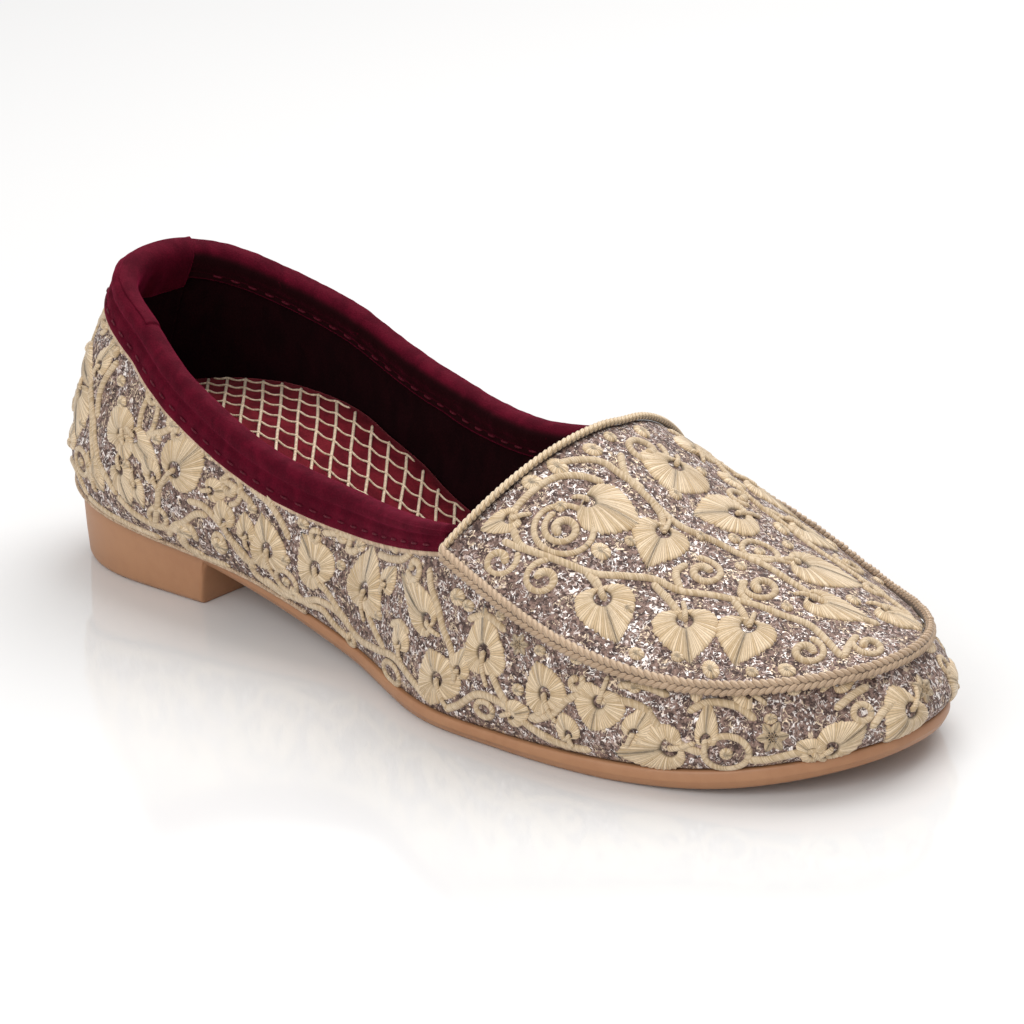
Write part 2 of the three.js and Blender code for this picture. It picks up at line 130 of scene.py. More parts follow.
def by_side(table, side, x):
    """The lateral column where side is -1 and the medial column where it is 1."""
    return np.where(side < 0, table("lateral", x), table("medial", x))


def plan_y(x, side, inset):
    """y of an outline that lies inset within the footprint."""
    bend = TOE_SKEW * np.clip((x - LENGTH + TOE_CAP) / TOE_CAP, 0, 1) ** 2
    return bend + side * (by_side(FOOTPRINT, side, x) - inset) * cap_share(x)


def feather(x, side):
    """The line where the upper meets the sole: the footprint's outline at its table of heights."""
    return np.stack([x, plan_y(x, side, 0), FEATHER("z", x)], -1)


def topline(x, side):
    """The opening's edge. Its medial side is raised by a Gaussian about RISE_X."""
    rise = (side > 0) * RISE_HEIGHT * np.exp(-((x - RISE_X) / RISE_REACH) ** 2)
    return np.stack([x + TOPLINE("lean", x), plan_y(x, side, by_side(TOPLINE, side, x)),
                     TOPLINE("z", x) + rise], -1)


def seam_line(x, side):
    """The footprint's outline forward of the throat, drawn in and shortened at the toe."""
    sx = THROAT_X + (x - THROAT_X) * (LENGTH - SEAM_TIP - THROAT_X) / (LENGTH - THROAT_X)
    return np.stack([sx, plan_y(x, side, SEAM("inset", x)), SEAM("z", x)], -1)


def foot_x(sx):
    """The footprint's station for a station of the seam, the inverse of the line in seam_line."""
    return THROAT_X + (sx - THROAT_X) * (LENGTH - THROAT_X) / (LENGTH - SEAM_TIP - THROAT_X)


def round_outline(heel=64, flank=150, toe=90, extra=()):
    """Stations round the footprint from the heel's tip, up the lateral side, round the toe and back down
    the medial side: x, side, and the direction out of the outline in plan."""
    a = HEEL_CAP * (1 - np.cos(np.arange(heel) / heel * np.pi / 2) ** (2 / HEEL_POWER))
    b = HEEL_CAP + (LENGTH - TOE_CAP - HEEL_CAP) * np.arange(flank) / flank
    c = LENGTH - TOE_CAP + TOE_CAP * np.sin(np.arange(toe + 1) / toe * np.pi / 2) ** (2 / TOE_POWER)
    one = np.union1d(np.concatenate([a, b, c]), extra)
    x = np.concatenate([one, one[-2:0:-1]])
    side = np.concatenate([-np.ones(len(one)), np.ones(len(one) - 2)])
    return x, side, outward(x, side)


def outward(x, side):
    """The outline's normal in plan, from the chord between each station's two neighbours."""
    foot = feather(x, side)
    run = np.roll(foot, -1, 0) - np.roll(foot, 1, 0)
    return unit(np.stack([run[:, 1], -run[:, 0], 0 * x], -1))


def wall_top(x, side, out):
    """The topline behind the throat, sinking forward of it to just under the apron's rim."""
    under = seam_line(x, side) - [0, 0, TUCK_DROP] - TUCK_INSET * out
    return mix(topline(x, side), under, smooth((x - THROAT_X) / TUCK_LENGTH)[..., None])


# Soft creases in the lasted cloth. Each is a trough where its depth is negative and a ridge where it is
# positive: place, bearing of its line in degrees, half its length and half its width, and depth.
WALL_CREASES = [   # the side, x, and the height over the feather line
    (-1, 22, 34, 70, 16, 3.2, -0.7), (-1, 30, 30, 68, 15, 3.0, 0.5), (-1, 62, 18, 40, 13, 3.4, -0.6),
    (-1, 98, 20, 12, 22, 3.6, -0.7), (-1, 104, 13, 10, 20, 3.4, 0.5), (-1, 140, 20, -35, 13, 3.2, -0.6),
    (-1, 176, 15, 62, 9, 3.0, -0.5), (-1, 205, 11, 20, 12, 2.8, -0.4), (1, 26, 32, 72, 16, 3.2, -0.6),
    (1, 70, 20, 25, 18, 3.6, -0.8), (1, 78, 13, 22, 16, 3.2, 0.5), (1, 118, 18, -10, 20, 3.6, -0.7),
    (1, 168, 14, 60, 9, 3.0, -0.5), (1, 205, 10, 15, 12, 2.8, -0.4),
]
APRON_CREASES = [   # x, and y across
    (168, -20, 62, 15, 4.5, -0.7), (176, -12, 66, 16, 4.0, 0.5), (180, 16, -60, 15, 4.5, -0.7),
    (198, 2, 85, 22, 5.0, -0.8), (206, -14, 40, 13, 3.6, -0.5), (188, 26, -20, 12, 4.0, 0.4),
    (162, 8, 20, 14, 5.0, -0.5),
]


def creases(rows, a, b):
    """Sum of the creases at places (a, b): each falls off as a Gaussian along and across its line."""
    total = 0
    for place_a, place_b, bearing, half_length, half_width, depth in rows:
        c, s = np.cos(np.radians(bearing)), np.sin(np.radians(bearing))
        along, across = (a - place_a) * c + (b - place_b) * s, (b - place_b) * c - (a - place_a) * s
        total = total + depth * np.exp(-(along / half_length) ** 2 - (across / half_width) ** 2)
    return total


def wall_face(x, side, out, t):
    """The wall's outer face: the straight line from feather to top, swollen by a power of t times
    (1 - t), with its creases, which fade out at both edges."""
    foot, top = feather(x, side), wall_top(x, side, out)
    swell = SWELL("out", x) * BULGE_GAIN * np.clip(t, 0, 1) ** BULGE_POWER * np.clip(1 - t, 0, 1)
    high = t * (top[..., 2] - foot[..., 2])
    for hand in (-1, 1):
        rows = [row[1:] for row in WALL_CREASES if row[0] == hand]
        fade = np.clip(4 * t * (1 - t), 0, 1)
        swell = swell + np.where(side == hand, creases(rows, x, high), 0) * fade
    return mix(foot, top, t[..., None]) + out * swell[..., None]


def wall_grid(x, side, out, t):
    """The wall's face on a grid: stations by rows of t, where t is (rows,) or (stations, rows)."""
    shape = (len(x), np.shape(t)[-1])
    x, side = np.broadcast_to(x[:, None], shape), np.broadcast_to(side[:, None], shape)
    return wall_face(x, side, np.broadcast_to(out[:, None], shape + (3,)), np.broadcast_to(t, shape))


def grid_normals(points, closed):
    """Unit normals of a grid of points: the cross product of its two central differences."""
    a = (np.roll(points, -1, 0) - np.roll(points, 1, 0)) if closed else np.gradient(points, axis=0)
    return unit(np.cross(a, np.gradient(points, axis=1)))


def apron_face(x, u):
    """The apron's face: straight across between the seams, raised to the crest by 1 - |u|^power."""
    fx = foot_x(x)
    lateral, medial = seam_line(fx, -1 + 0 * x), seam_line(fx, 1 + 0 * x)
    across = (u + 1) / 2
    rim = mix(lateral[..., 2], medial[..., 2], across)
    rise = (CREST("z", x) - rim) * (1 - np.abs(u) ** APRON_POWER)
    y = mix(lateral[..., 1], medial[..., 1], across)
    return np.stack([x, y, rim + rise + creases(APRON_CREASES, x, y) * (1 - u**4)], -1)


def throat_line(u):
    """Station of the apron's rear edge: a parabola across."""
    return THROAT_X + THROAT_SCOOP * (1 - u * u)


class Skin:
    """A face of the shoe as flat cloth: a dense grid of its points, looked up by two lengths on it."""

    def __init__(self, points, closed):
        self.points, self.closed = points, closed
        self.normals = grid_normals(points, closed)

    def read(self, grid, i, j):
        """Bilinear reading of a grid at fractional row i and column j."""
        n, m = grid.shape[:2]
        i = np.mod(i, n) if self.closed else np.clip(i, 0, n - 1.001)
        j = np.clip(j, 0, m - 1.001)
        i0, j0 = i.astype(int), j.astype(int)
        i1 = (i0 + 1) % n
        fi, fj = (i - i0)[..., None], (j - j0)[..., None]
        return ((grid[i0, j0] * (1 - fi) + grid[i1, j0] * fi) * (1 - fj)
                + (grid[i0, j0 + 1] * (1 - fi) + grid[i1, j0 + 1] * fi) * fj)

    def at(self, flat, lift=0.0):
        """Points over the face: flat is (..., 2), lift the height over it."""
        i, j = self.index(flat[..., 0], flat[..., 1])
        return self.read(self.points, i, j) + self.normal(flat) * np.asarray(lift)[..., None]

    def normal(self, flat):
        i, j = self.index(flat[..., 0], flat[..., 1])
        return unit(self.read(self.normals, i, j))

    def local(self, place, turn=0.0):
        """The matrix that lays true millimetres, turned by an angle in degrees, into the skin's two
        lengths at a place: the inverse square root of the metric there times the turn."""
        c, step = np.array(place, float), 0.5
        du = (self.at(c + [step, 0]) - self.at(c - [step, 0])) / (2 * step)
        dv = (self.at(c + [0, step]) - self.at(c - [0, step])) / (2 * step)
        value, vector = np.linalg.eigh([[du @ du, du @ dv], [du @ dv, dv @ dv]])
        value = np.maximum(value, 0.1)
        angle = np.radians(turn)
        turned = np.array([[np.cos(angle), -np.sin(angle)], [np.sin(angle), np.cos(angle)]])
        return vector @ np.diag(value**-0.5) @ vector.T @ turned

    def lay(self, drawing, place, turn=0.0):
        """Places on the skin of a drawing in true millimetres, turned and laid about a place."""
        return drawing @ self.local(place, turn).T + place


class WallSkin(Skin):
    """The side wall. First length: round the shoe from the heel's middle, positive up the lateral side
    and negative up the medial side. Second: up from the feather line."""

    ROWS = 80

    def __init__(self):
        x, side, out = round_outline(80, 220, 130)
        points = wall_grid(x, side, out, np.linspace(0, 1, self.ROWS))
        super().__init__(points, closed=True)
        middle = points[:, self.ROWS // 3]
        self.around = path_length(np.concatenate([middle, middle[:1]]))
        self.total = self.around[-1]
        high = np.linalg.norm(np.diff(points, axis=1), axis=2).sum(1)
        self.high = np.append(high, high[0])

    def index(self, s, h):
        s = np.mod(s, self.total)
        i = np.interp(s, self.around, np.arange(len(self.around)))
        return i, h / np.interp(s, self.around, self.high) * (self.ROWS - 1)


class ApronSkin(Skin):
    """The apron. First length: forward along it from the throat's corners. Second: across from the
    crest, positive to the medial side."""

    SLOPE = 0.915   # length in plan over length along the crest

    def __init__(self, rows=150, columns=161, fine=401):
        x = np.linspace(THROAT_X, LENGTH - SEAM_TIP - 0.05, rows)
        u = np.sin(np.linspace(-np.pi / 2, np.pi / 2, fine))
        raw = apron_face(np.repeat(x[:, None], fine, 1), np.broadcast_to(u, (rows, fine)))
        step = np.linalg.norm(np.diff(raw, axis=1), axis=2)
        length = np.concatenate([np.zeros((rows, 1)), np.cumsum(step, 1)], 1)
        middle = length[:, fine // 2]
        self.half = np.stack([middle, length[:, -1] - middle], 1)
        f = np.linspace(-1, 1, columns)
        even = [np.stack([np.interp(middle[r] + np.where(f < 0, f * self.half[r, 0], f * self.half[r, 1]),
                                    length[r], raw[r, :, k]) for k in range(3)], -1) for r in range(rows)]
        super().__init__(np.array(even), closed=False)
        self.run = x[-1] - x[0]

    def index(self, a, w):
        n, m = self.points.shape[:2]
        i = np.clip(a * self.SLOPE / self.run, 0, 1) * (n - 1)
        half = np.where(w < 0, *(np.interp(i, np.arange(n), self.half[:, k]) for k in (0, 1)))
        return i, (w / half + 1) / 2 * (m - 1)


wall_skin, apron_skin = WallSkin(), ApronSkin()

# ---- From shoe millimetres to the frame's metres ----
MM = 1000
SOLE_BULGE = 0.1   # how far the sole's side swells out past its rim


def frame_shift():
    """What brings the sole's widest outline to the corner of the frame's own outsole."""
    sole_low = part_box("outsole")[0]
    x, side, out = round_outline()
    edge = feather(x, side) + out * (SOLE_RIM("out", x) + SOLE_BULGE)[:, None]
    return np.array([sole_low.x * MM - edge[:, 0].min(), sole_low.y * MM - edge[:, 1].min(), 0])


SHIFT = frame_shift()


def to_frame(points):
    """Points of the shoe, in millimetres, as points of the frame, in metres."""
    return (points + SHIFT) / MM


class Bits:
    """Meshes gathered into one piece: points, faces, a material number a face, and two attributes a point.
    "thread" holds how many threads across, how many millimetres along them, and a tone from 0 to 1,
    whose low values are painted shade in the thread and velvet finishes."""

    def __init__(self):
        self.points, self.faces, self.kinds, self.threads, self.count = [], [], [], [], 0

    def add(self, points, faces, thread=None, kind=0):
        points = points.reshape(-1, 3)
        self.points.append(points)
        self.faces += [f + self.count for f in faces]
        self.kinds += [np.broadcast_to(kind, len(f)) for f in faces]
        thread = np.full((len(points), 3), 0.5) if thread is None else thread.reshape(-1, 3)
        self.threads.append(thread)
        self.count += len(points)

    def build(self, name, materials, replaces):
        """One object at the origin whose mesh holds every bit, riding on the shoe's only body."""
        points = to_frame(np.concatenate(self.points))
        mesh = bpy.data.meshes.new(name)
        corners = np.concatenate([f.ravel() for f in self.faces])
        sizes = np.concatenate([np.full(len(f), f.shape[1]) for f in self.faces])
        mesh.vertices.add(len(points))
        mesh.vertices.foreach_set("co", points.ravel())
        mesh.loops.add(len(corners))
        mesh.loops.foreach_set("vertex_index", corners)
        mesh.polygons.add(len(sizes))
        mesh.polygons.foreach_set("loop_start", np.concatenate([[0], np.cumsum(sizes)[:-1]]))
        mesh.polygons.foreach_set("material_index", np.concatenate(self.kinds))
        mesh.polygons.foreach_set("use_smooth", np.full(len(sizes), True))
        mesh.update(calc_edges=True)
        mesh.attributes.new("thread", "FLOAT_VECTOR", "POINT").data.foreach_set(
            "vector", np.concatenate(self.threads).ravel())
        for material in materials:
            mesh.materials.append(material)
        piece = bpy.data.objects.new(name, mesh)
        bpy.context.scene.collection.objects.link(piece)
        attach(piece, "root")
        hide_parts(*replaces)
        return piece


def quads(n, m, wrap_n=False, wrap_m=False):
    """Faces of an n by m grid of points, joined round where a direction wraps."""
    i = np.arange(n if wrap_n else n - 1)[:, None]
    j = np.arange(m if wrap_m else m - 1)[None, :]
    a, b = i * m + j, (i + 1) % n * m + j
    c, d = (i + 1) % n * m + (j + 1) % m, i * m + (j + 1) % m
    return np.stack([a, b, c, d], -1).reshape(-1, 4)


def fan(ring_start, count, centre, flip=False):
    """Triangles from a ring of points to its centre point."""
    i = np.arange(count)
    a, b = ring_start + i, ring_start + (i + 1) % count
    return np.stack([b, a, 0 * i + centre] if flip else [a, b, 0 * i + centre], -1)


def disc_faces(columns, rows):
    """Faces of a closed disc: columns round, rows outwards, then a point for its middle and one under it."""
    inner = np.arange(columns) * rows
    after = np.roll(inner, -1)
    middle, under = columns * rows + 0 * inner, columns * rows + 1 + 0 * inner
    return [quads(columns, rows, wrap_n=True)[:, ::-1], np.stack([inner, after, middle], -1),
            np.stack([after + rows - 1, inner + rows - 1, under], -1)]


def catmull_rom(a, b, c, d, steps):
    """The curve from each b to its c, with neighbours a and d, cut in a number of steps."""
    t = np.linspace(0, 1, steps, endpoint=False)[:, None]
    curve = 0.5 * (2 * b + (c - a) * t + (2 * a - 5 * b + 4 * c - d) * t**2
                   + (3 * b - a - 3 * c + d) * t**3)
    return curve.reshape(-1, b.shape[-1])


def smooth_path(points, step):
    """A smooth curve through a few points, resampled to even steps."""
    p = np.array(points, float)
    p = np.concatenate([2 * p[:1] - p[1:2], p, 2 * p[-1:] - p[-2:-1]])
    curve = catmull_rom(p[:-3, None], p[1:-2, None], p[2:-1, None], p[3:, None], 24)
    return even_steps(np.concatenate([curve, p[-2:-1]]), step)


def closed_curve(rows, steps):
    """A smooth closed curve through rows, each piece cut in a number of steps."""
    return catmull_rom(*(np.roll(rows, k, 0)[:, None] for k in (1, 0, -1, -2)), steps)


def even_steps(path, step, carried=None):
    """A path in even steps, with what it carries alongside."""
    length = path_length(path)
    want = np.linspace(0, length[-1], max(3, int(round(length[-1] / step)) + 1))
    both = path if carried is None else np.concatenate([path, carried], 1)
    return np.stack([np.interp(want, length, column) for column in both.T], -1)


def even_route(path, away, step):
    """Even steps along a path and the unit directions that it carries."""
    both = even_steps(path, step, away)
    return both[:, :3], unit(both[:, 3:])


def frame_along(centre, out, closed=False):
    """The direction along a path and the one across it, level with its face."""
    run = unit((np.roll(centre, -1, 0) - np.roll(centre, 1, 0)) if closed else np.gradient(centre, axis=0))
    return run, unit(np.cross(out, run))


THIN_END = 0.02   # how much of a cord's section is left at its two ends


def tube(bits, centre, out, wide, high, sides=8, tone=0.5, pitch=0.55, slant=0.5, flat=0.35,
         closed=False, taper=1.0, zigzag=0.02):
    """A satin-stitched cord along a path: at each station a half ellipse wide by high over the surface,
    its foot flattened, tapered to a point at both ends by the square root of the distance from them.
    Threads run across it on a slant, one every pitch."""
    n = len(centre)
    wide, high = np.reshape(wide, (-1, 1)), np.reshape(high, (-1, 1))
    across = frame_along(centre, out, closed)[1]
    angle = np.arange(sides) / sides * 2 * np.pi
    length = path_length(centre)
    size = np.ones(n)
    if not closed:
        size = np.sqrt(np.clip(np.minimum(length, length[-1] - length) / taper, THIN_END, 1))
    size = size * (1 + zigzag * np.where(np.arange(n) % 2, 1, -1))
    y = np.cos(angle)[None] * size[:, None] * wide / 2
    z = np.maximum(np.sin(angle), -flat)[None] * size[:, None] * high
    points = centre[:, None] + across[:, None] * y[..., None] + out[:, None] * z[..., None]
    u = (length[:, None] + slant * y) / pitch
    thread = np.stack([u, y, np.full_like(u, tone)], -1)
    faces = [quads(n, sides, wrap_n=closed, wrap_m=True)[:, ::-1]]
    if not closed:
        ends = np.stack([points[0].mean(0), points[-1].mean(0)])
        points = np.concatenate([points.reshape(-1, 3), ends])
        thread = np.concatenate([thread.reshape(-1, 3), thread[[0, -1], 0]])
        faces += [fan(0, sides, n * sides, flip=True), fan((n - 1) * sides, sides, n * sides + 1)]
    bits.add(points, faces, thread)


def cord_on(bits, skin, flat, wide, high, lift=0.0, **look):
    """A satin cord along flat places on a skin."""
    tube(bits, skin.at(flat, lift), skin.normal(flat), wide, high, **look)


# ---- Embroidery ----
STITCH = 0.36   # step along a vine


def vine(bits, skin, points, wide=1.85, high=0.7, tone=0.75):
    """A couched vine through a few places on a skin."""
    cord_on(bits, skin, smooth_path(points, STITCH), wide, high, tone=tone)


def curl(bits, skin, place, radius, start, turns, hand, wide=1.55):
    """A spiral whose radius falls from full to a fifth as the power 0.8 of its turn, and whose cord
    thickens to a round knob at its middle."""
    t = np.linspace(0, 1, 60)
    reach = radius * (1 - 0.78 * t**0.8)
    angle = np.radians(start) + hand * t * turns * 2 * np.pi
    flat = np.stack([reach * np.cos(angle), reach * np.sin(angle)], -1)
    flat = skin.lay(even_steps(flat, STITCH), place)
    swell = 1 + 0.6 * np.linspace(0, 1, len(flat)) ** 3
    cord_on(bits, skin, flat, wide * swell, 0.66 * swell, tone=0.8, taper=0.7)


def ring(bits, skin, place, along, across, turn, wide=1.5):
    """A closed satin ring, an ellipse of two half widths."""
    count = int(2 * np.pi * across / STITCH) // 2 * 2
    angle = np.arange(count) / count * 2 * np.pi
    flat = np.stack([along * np.cos(angle), across * np.sin(angle)], -1)
    cord_on(bits, skin, skin.lay(flat, place, turn), wide, 0.62, closed=True, tone=0.75)


def petal_outline(angle, tip, back, wide, point, notch):
    """A closed outline round the eye. Along the leaf it is an ellipse from tip to back. Across, the sine
    times a power of the half angle's sine, which brings the tip to a point. The base is notched inwards."""
    x = (tip - back) / 2 + (tip + back) / 2 * np.cos(angle)
    y = np.sin(angle) * np.abs(np.sin(angle / 2)) ** point
    y = y / y.max() * wide / 2
    return np.stack([x + notch * np.exp(-(((angle - np.pi) / 0.45) ** 2)), y], -1)


LEAF_ROWS = np.array([   # share of the way out from the hollow, and share of the height
    [0.0, -0.1], [0.06, 0.5], [0.14, 0.92], [0.26, 1.0], [0.45, 0.92], [0.66, 0.8], [0.85, 0.6],
    [0.95, 0.38], [1.0, -0.25]])
BUTTON_ROWS = np.array([[0.35, 1.0], [0.7, 0.85], [0.92, 0.5], [1.0, -0.25]])
HOLLOW_SHARE, HOLLOW_LEAST = 0.09, 0.3     # a leaf's eye: a share of its length, and millimetres
OVERRUN, LONG_THREAD, UNEVEN = 1.03, 0.024, 0.018   # how far threads end past the outline
VEIN, LOBE, BUMPY = 0.11, 0.16, 0.015      # how far threads and parts of a leaf stand over their mean
UNDER = -0.4   # height of the point that closes a shape's underside


def satin_shape(bits, skin, place, turn, flat, lift, away, tone, middle):
    """A closed padded shape laid on a skin. flat, (columns round, rows outwards, 2), is its drawing, lift
    its height, away how far out its threads are there, and tone their tone. A point over its middle
    closes the top at middle's height and tone, and one under it, deep in the cloth, the underside."""
    columns, rows = flat.shape[:2]
    flat = np.concatenate([flat.reshape(-1, 2), np.zeros((2, 2))])
    lift = np.concatenate([lift.ravel(), [middle[0], UNDER]])
    threads = np.stack(np.broadcast_arrays(np.arange(columns)[:, None] / 2, away, tone), -1)
    threads = np.concatenate([threads.reshape(-1, 3), [[0, 0, middle[1]], [0, 0, middle[2]]]])
    bits.add(skin.at(skin.lay(flat, place, turn), lift), disc_faces(columns, rows), threads)


def leaf(bits, skin, eye, turn, tip, back, wide, point, notch=1.2, high=0.85, stalk=True):
    """A satin leaf whose threads fan out from the rim of a round hollow, its eye: rows run from the
    hollow's rim to the outline, raised by LEAF_ROWS, and every second column ends a little long."""
    rng = np.random.default_rng(int(abs(eye[0] * 31 + eye[1] * 17 + turn)) + 5)
    columns = 2 * max(18, int((tip + back + wide) * 1.3))
    angle = np.arange(columns) / columns * 2 * np.pi
    outline = petal_outline(angle, tip, back, wide, point * 1.4, notch)
    size = np.linalg.norm(outline, axis=1)
    hollow = np.minimum(HOLLOW_SHARE * (tip + back) + HOLLOW_LEAST, 0.6 * size)
    odd = np.where(np.arange(columns) % 2, 1.0, -1.0)
    reach = size * (OVERRUN + LONG_THREAD * odd + rng.normal(0, UNEVEN, columns)) - hollow
    share, rise = LEAF_ROWS.T
    away = hollow[:, None] + reach[:, None] * share
    flat = (outline / size[:, None])[:, None] * away[..., None]
    veins = 1 + VEIN * odd[:, None] * np.clip(share * 2, 0, 1)
    lobes = 1 + LOBE * np.cos(2 * angle + rng.uniform(0, 6.28))[:, None] * share
    lift = rise * high * veins * lobes + rng.normal(0, BUMPY, columns)[:, None]
    # Painted shade in the eye: rows nearest the hollow, and the point over its middle, get a low tone that
    # darkens them towards the shade colour; further out the tone varies a little at random.
    tone = np.clip(share * 7, 0, 1) * rng.uniform(0.8, 1)
    satin_shape(bits, skin, eye, turn, flat, lift, away, tone, middle=(-0.15, 0, 0.5))
    if stalk:
        stem = np.array([[-back - 1.8, 0.0], [-back * 0.5, 0.2], [0.35 * hollow.mean(), 0.0]])
        path = smooth_path(skin.lay(stem, eye, turn), 0.3)
        way = np.linspace(0, 1, len(path))
        over = high * 0.8 * smooth(way * 2.2) * (1 - 0.5 * smooth((way - 0.75) * 4))
        swell = 1 + 0.45 * way**4
        cord_on(bits, skin, path, 1.15 * swell, 0.6 * swell, over, tone=0.9, taper=0.6)


def button(bits, skin, place, along, across, turn, columns=20, high=0.75, tone=0.7):
    """A small padded satin dot: the leaf's fan on an ellipse of two half widths, with no eye."""
    angle = np.arange(columns) / columns * 2 * np.pi
    odd = np.where(np.arange(columns) % 2, 1.0, -1.0)
    share, rise = BUTTON_ROWS.T
    outline = np.stack([along * np.cos(angle), across * np.sin(angle)], -1)
    flat = outline[:, None] * (share * (1 + 0.03 * odd[:, None]))[..., None]
    lift = high * rise * (1 + 0.1 * odd[:, None])
    satin_shape(bits, skin, place, turn, flat, lift, share * along, tone, middle=(0.8, tone, tone))


def star(bits, skin, place, radius, turn, petals=6):
    """Small leaves without stalks round a middle."""
    for k in range(petals):
        direction = turn + 360 * k / petals
        middle = skin.lay(np.array([radius * 0.15, 0]), place, direction)
        leaf(bits, skin, middle, direction, radius * 0.85, 0.3, radius * 0.62,
             point=0.4, notch=0, high=0.6, stalk=False)


# ---- Materials ----
class Graph:
    """A node tree's bench: each call adds one node and returns the socket it puts out."""

    def __init__(self, tree):
        self.tree = tree

    def node(self, kind, inputs, out=0, **settings):
        """A node of a kind with its settings, and its inputs linked or set."""
        made = self.tree.nodes.new(kind)
        for key, value in settings.items():
            setattr(made, key, value)
        for key, value in inputs.items():
            if isinstance(value, bpy.types.NodeSocket):
                self.tree.links.new(value, made.inputs[key])
            else:
                made.inputs[key].default_value = value
        return made.outputs[out]

    def math(self, operation, a, b=0.0):
        """A sum on one or two numbers."""
        return self.node("ShaderNodeMath", {0: a, 1: b}, operation=operation)

    def add(self, a, b):
        return self.math("ADD", a, b)

    def times(self, a, b):
        return self.math("MULTIPLY", a, b)

    def vector(self, operation, a, b=None, scale=None):
        """Vector maths on a, with either a second vector or a scale."""
        others = {1: b, "Scale": scale}
        given = {key: value for key, value in others.items() if value is not None}
        return self.node("ShaderNodeVectorMath", {0: a, **given}, operation=operation)

    def parts(self, vector):
        """The three numbers of a vector."""
        return self.node("ShaderNodeSeparateXYZ", {0: vector}).node.outputs

    def group(self, tree, **inputs):
        """A shared group placed in this tree, and its outputs by name."""
        return self.node("ShaderNodeGroup", inputs, node_tree=tree).node.outputs

    def ramp(self, value, low, high, to_low=0.0, to_high=1.0):
        """The value eased from one range to another, flat beyond its ends."""
        return self.node("ShaderNodeMapRange", {0: value, 1: low, 2: high, 3: to_low, 4: to_high},
                         interpolation_type="SMOOTHSTEP")

    def blend(self, share, a, b):
        """Colour a where share is 0 and b where it is 1."""
        return self.node("ShaderNodeMix", {0: share, 6: colour(a), 7: colour(b)}, out=2, data_type="RGBA")

    def noise(self, place, size, detail=2.0, warp=0.0):
        """Noise whose lumps are about size millimetres across."""
        return self.node("ShaderNodeTexNoise", {"Vector": place, "Scale": 1 / size, "Detail": detail,
                                                "Distortion": warp})

    def millimetres(self):
        """Object coordinates in millimetres."""
        return self.vector("SCALE", self.node("ShaderNodeTexCoord", {}, out="Object"), scale=float(MM))

    def thread(self):
        """The mesh's thread attribute, and the tone it carries."""
        thread = self.node("ShaderNodeAttribute", {}, out="Vector", attribute_name="thread")
        return thread, self.parts(thread)[2]

    def bump(self, height, distance, **normal):
        """A bump whose full height is distance millimetres."""
        return self.node("ShaderNodeBump", {"Height": height, "Distance": distance / MM, **normal})


def colour(value):
    """A socket as it is, or three numbers as a solid colour."""
    return value if isinstance(value, bpy.types.NodeSocket) else (*value, 1)


def group_of(name, inputs, outputs, make):
    """A shader node group with named sockets; make(graph, inputs) returns its outputs by name."""
    tree = bpy.data.node_groups.new(name, "ShaderNodeTree")
    for socket, kind in inputs.items():
        tree.interface.new_socket(socket, in_out="INPUT", socket_type="NodeSocket" + kind)
    for socket, kind in outputs.items():
        tree.interface.new_socket(socket, in_out="OUTPUT", socket_type="NodeSocket" + kind)
    graph = Graph(tree)
    given = tree.nodes.new("NodeGroupInput")
    result = tree.nodes.new("NodeGroupOutput")
    for socket, value in make(graph, given.outputs).items():
        tree.links.new(value, result.inputs[socket])
    return tree


def material(name, make, **constants):
    """A material whose Principled BSDF gets its varying inputs from make(graph), and its constants as
    given."""
    made = bpy.data.materials.new(name)
    made.use_nodes = True
    tree = made.node_tree
    shader = tree.nodes["Principled BSDF"]
    for socket, value in constants.items():
        shader.inputs[socket.replace("_", " ")].default_value = value
    for socket, value in make(Graph(tree)).items():
        tree.links.new(value, shader.inputs[socket])
    return made


def thread_lay(graph, given):
    """Rounded threads side by side: |sin| across them, a fine twist along each, a shade of its own for
    each thread, and the Groove mask, 0 between two threads, which places painted shade there."""
    across, along = graph.parts(given["Thread"])[:2]
    count = graph.times(across, given["Split"])
    round_top = graph.math("ABSOLUTE", graph.math("SINE", graph.times(count, np.pi)))
    own = graph.node("ShaderNodeTexWhiteNoise", {"W": graph.math("FLOOR", count)}, noise_dimensions="1D")
    fibre = graph.node("ShaderNodeCombineXYZ", {0: graph.times(count, 3.0),
                                                1: graph.times(along, 0.9)})
    streak = graph.node("ShaderNodeTexNoise", {"Vector": fibre, "Scale": 1.0, "Detail": 2.0})
    twist = graph.math("SINE", graph.add(graph.times(along, 9.0),
                                          graph.times(count, 4.0)))
    height = graph.add(round_top, graph.times(twist, 0.08))
    shade = graph.add(graph.times(own, 0.5), graph.times(streak, 0.5))
    return {"Height": height, "Shade": shade, "Groove": graph.ramp(round_top, 0.0, 0.5)}


def mottling(graph, given):
    """Slow and quick noise together, as a shade from 0 to 1."""
    slow, quick = (graph.node("ShaderNodeTexNoise", {"Vector": given["Place"], "Scale": given[name],
                                                     "Detail": detail})
                   for name, detail in (("Slow", 2.0), ("Quick", 3.0)))
    return {"Shade": graph.add(graph.times(slow, 0.6), graph.times(quick, 0.4))}


def velvet_nap(graph, given):
    """Short pile: patches brushed one way or the other, and the speckle of single tufts."""
    stretched = graph.vector("MULTIPLY", given["Place"], (1.0, 1.0, 0.45))
    brushed = graph.noise(stretched, 4.0, 3.0, warp=0.4)
    tuft = graph.noise(given["Place"], 0.35, 2.0)
    shade = graph.add(graph.ramp(brushed, 0.2, 0.8, 0.0, 0.45), graph.times(tuft, 0.6))
    return {"Shade": shade, "Height": graph.add(tuft, graph.times(brushed, 0.5))}


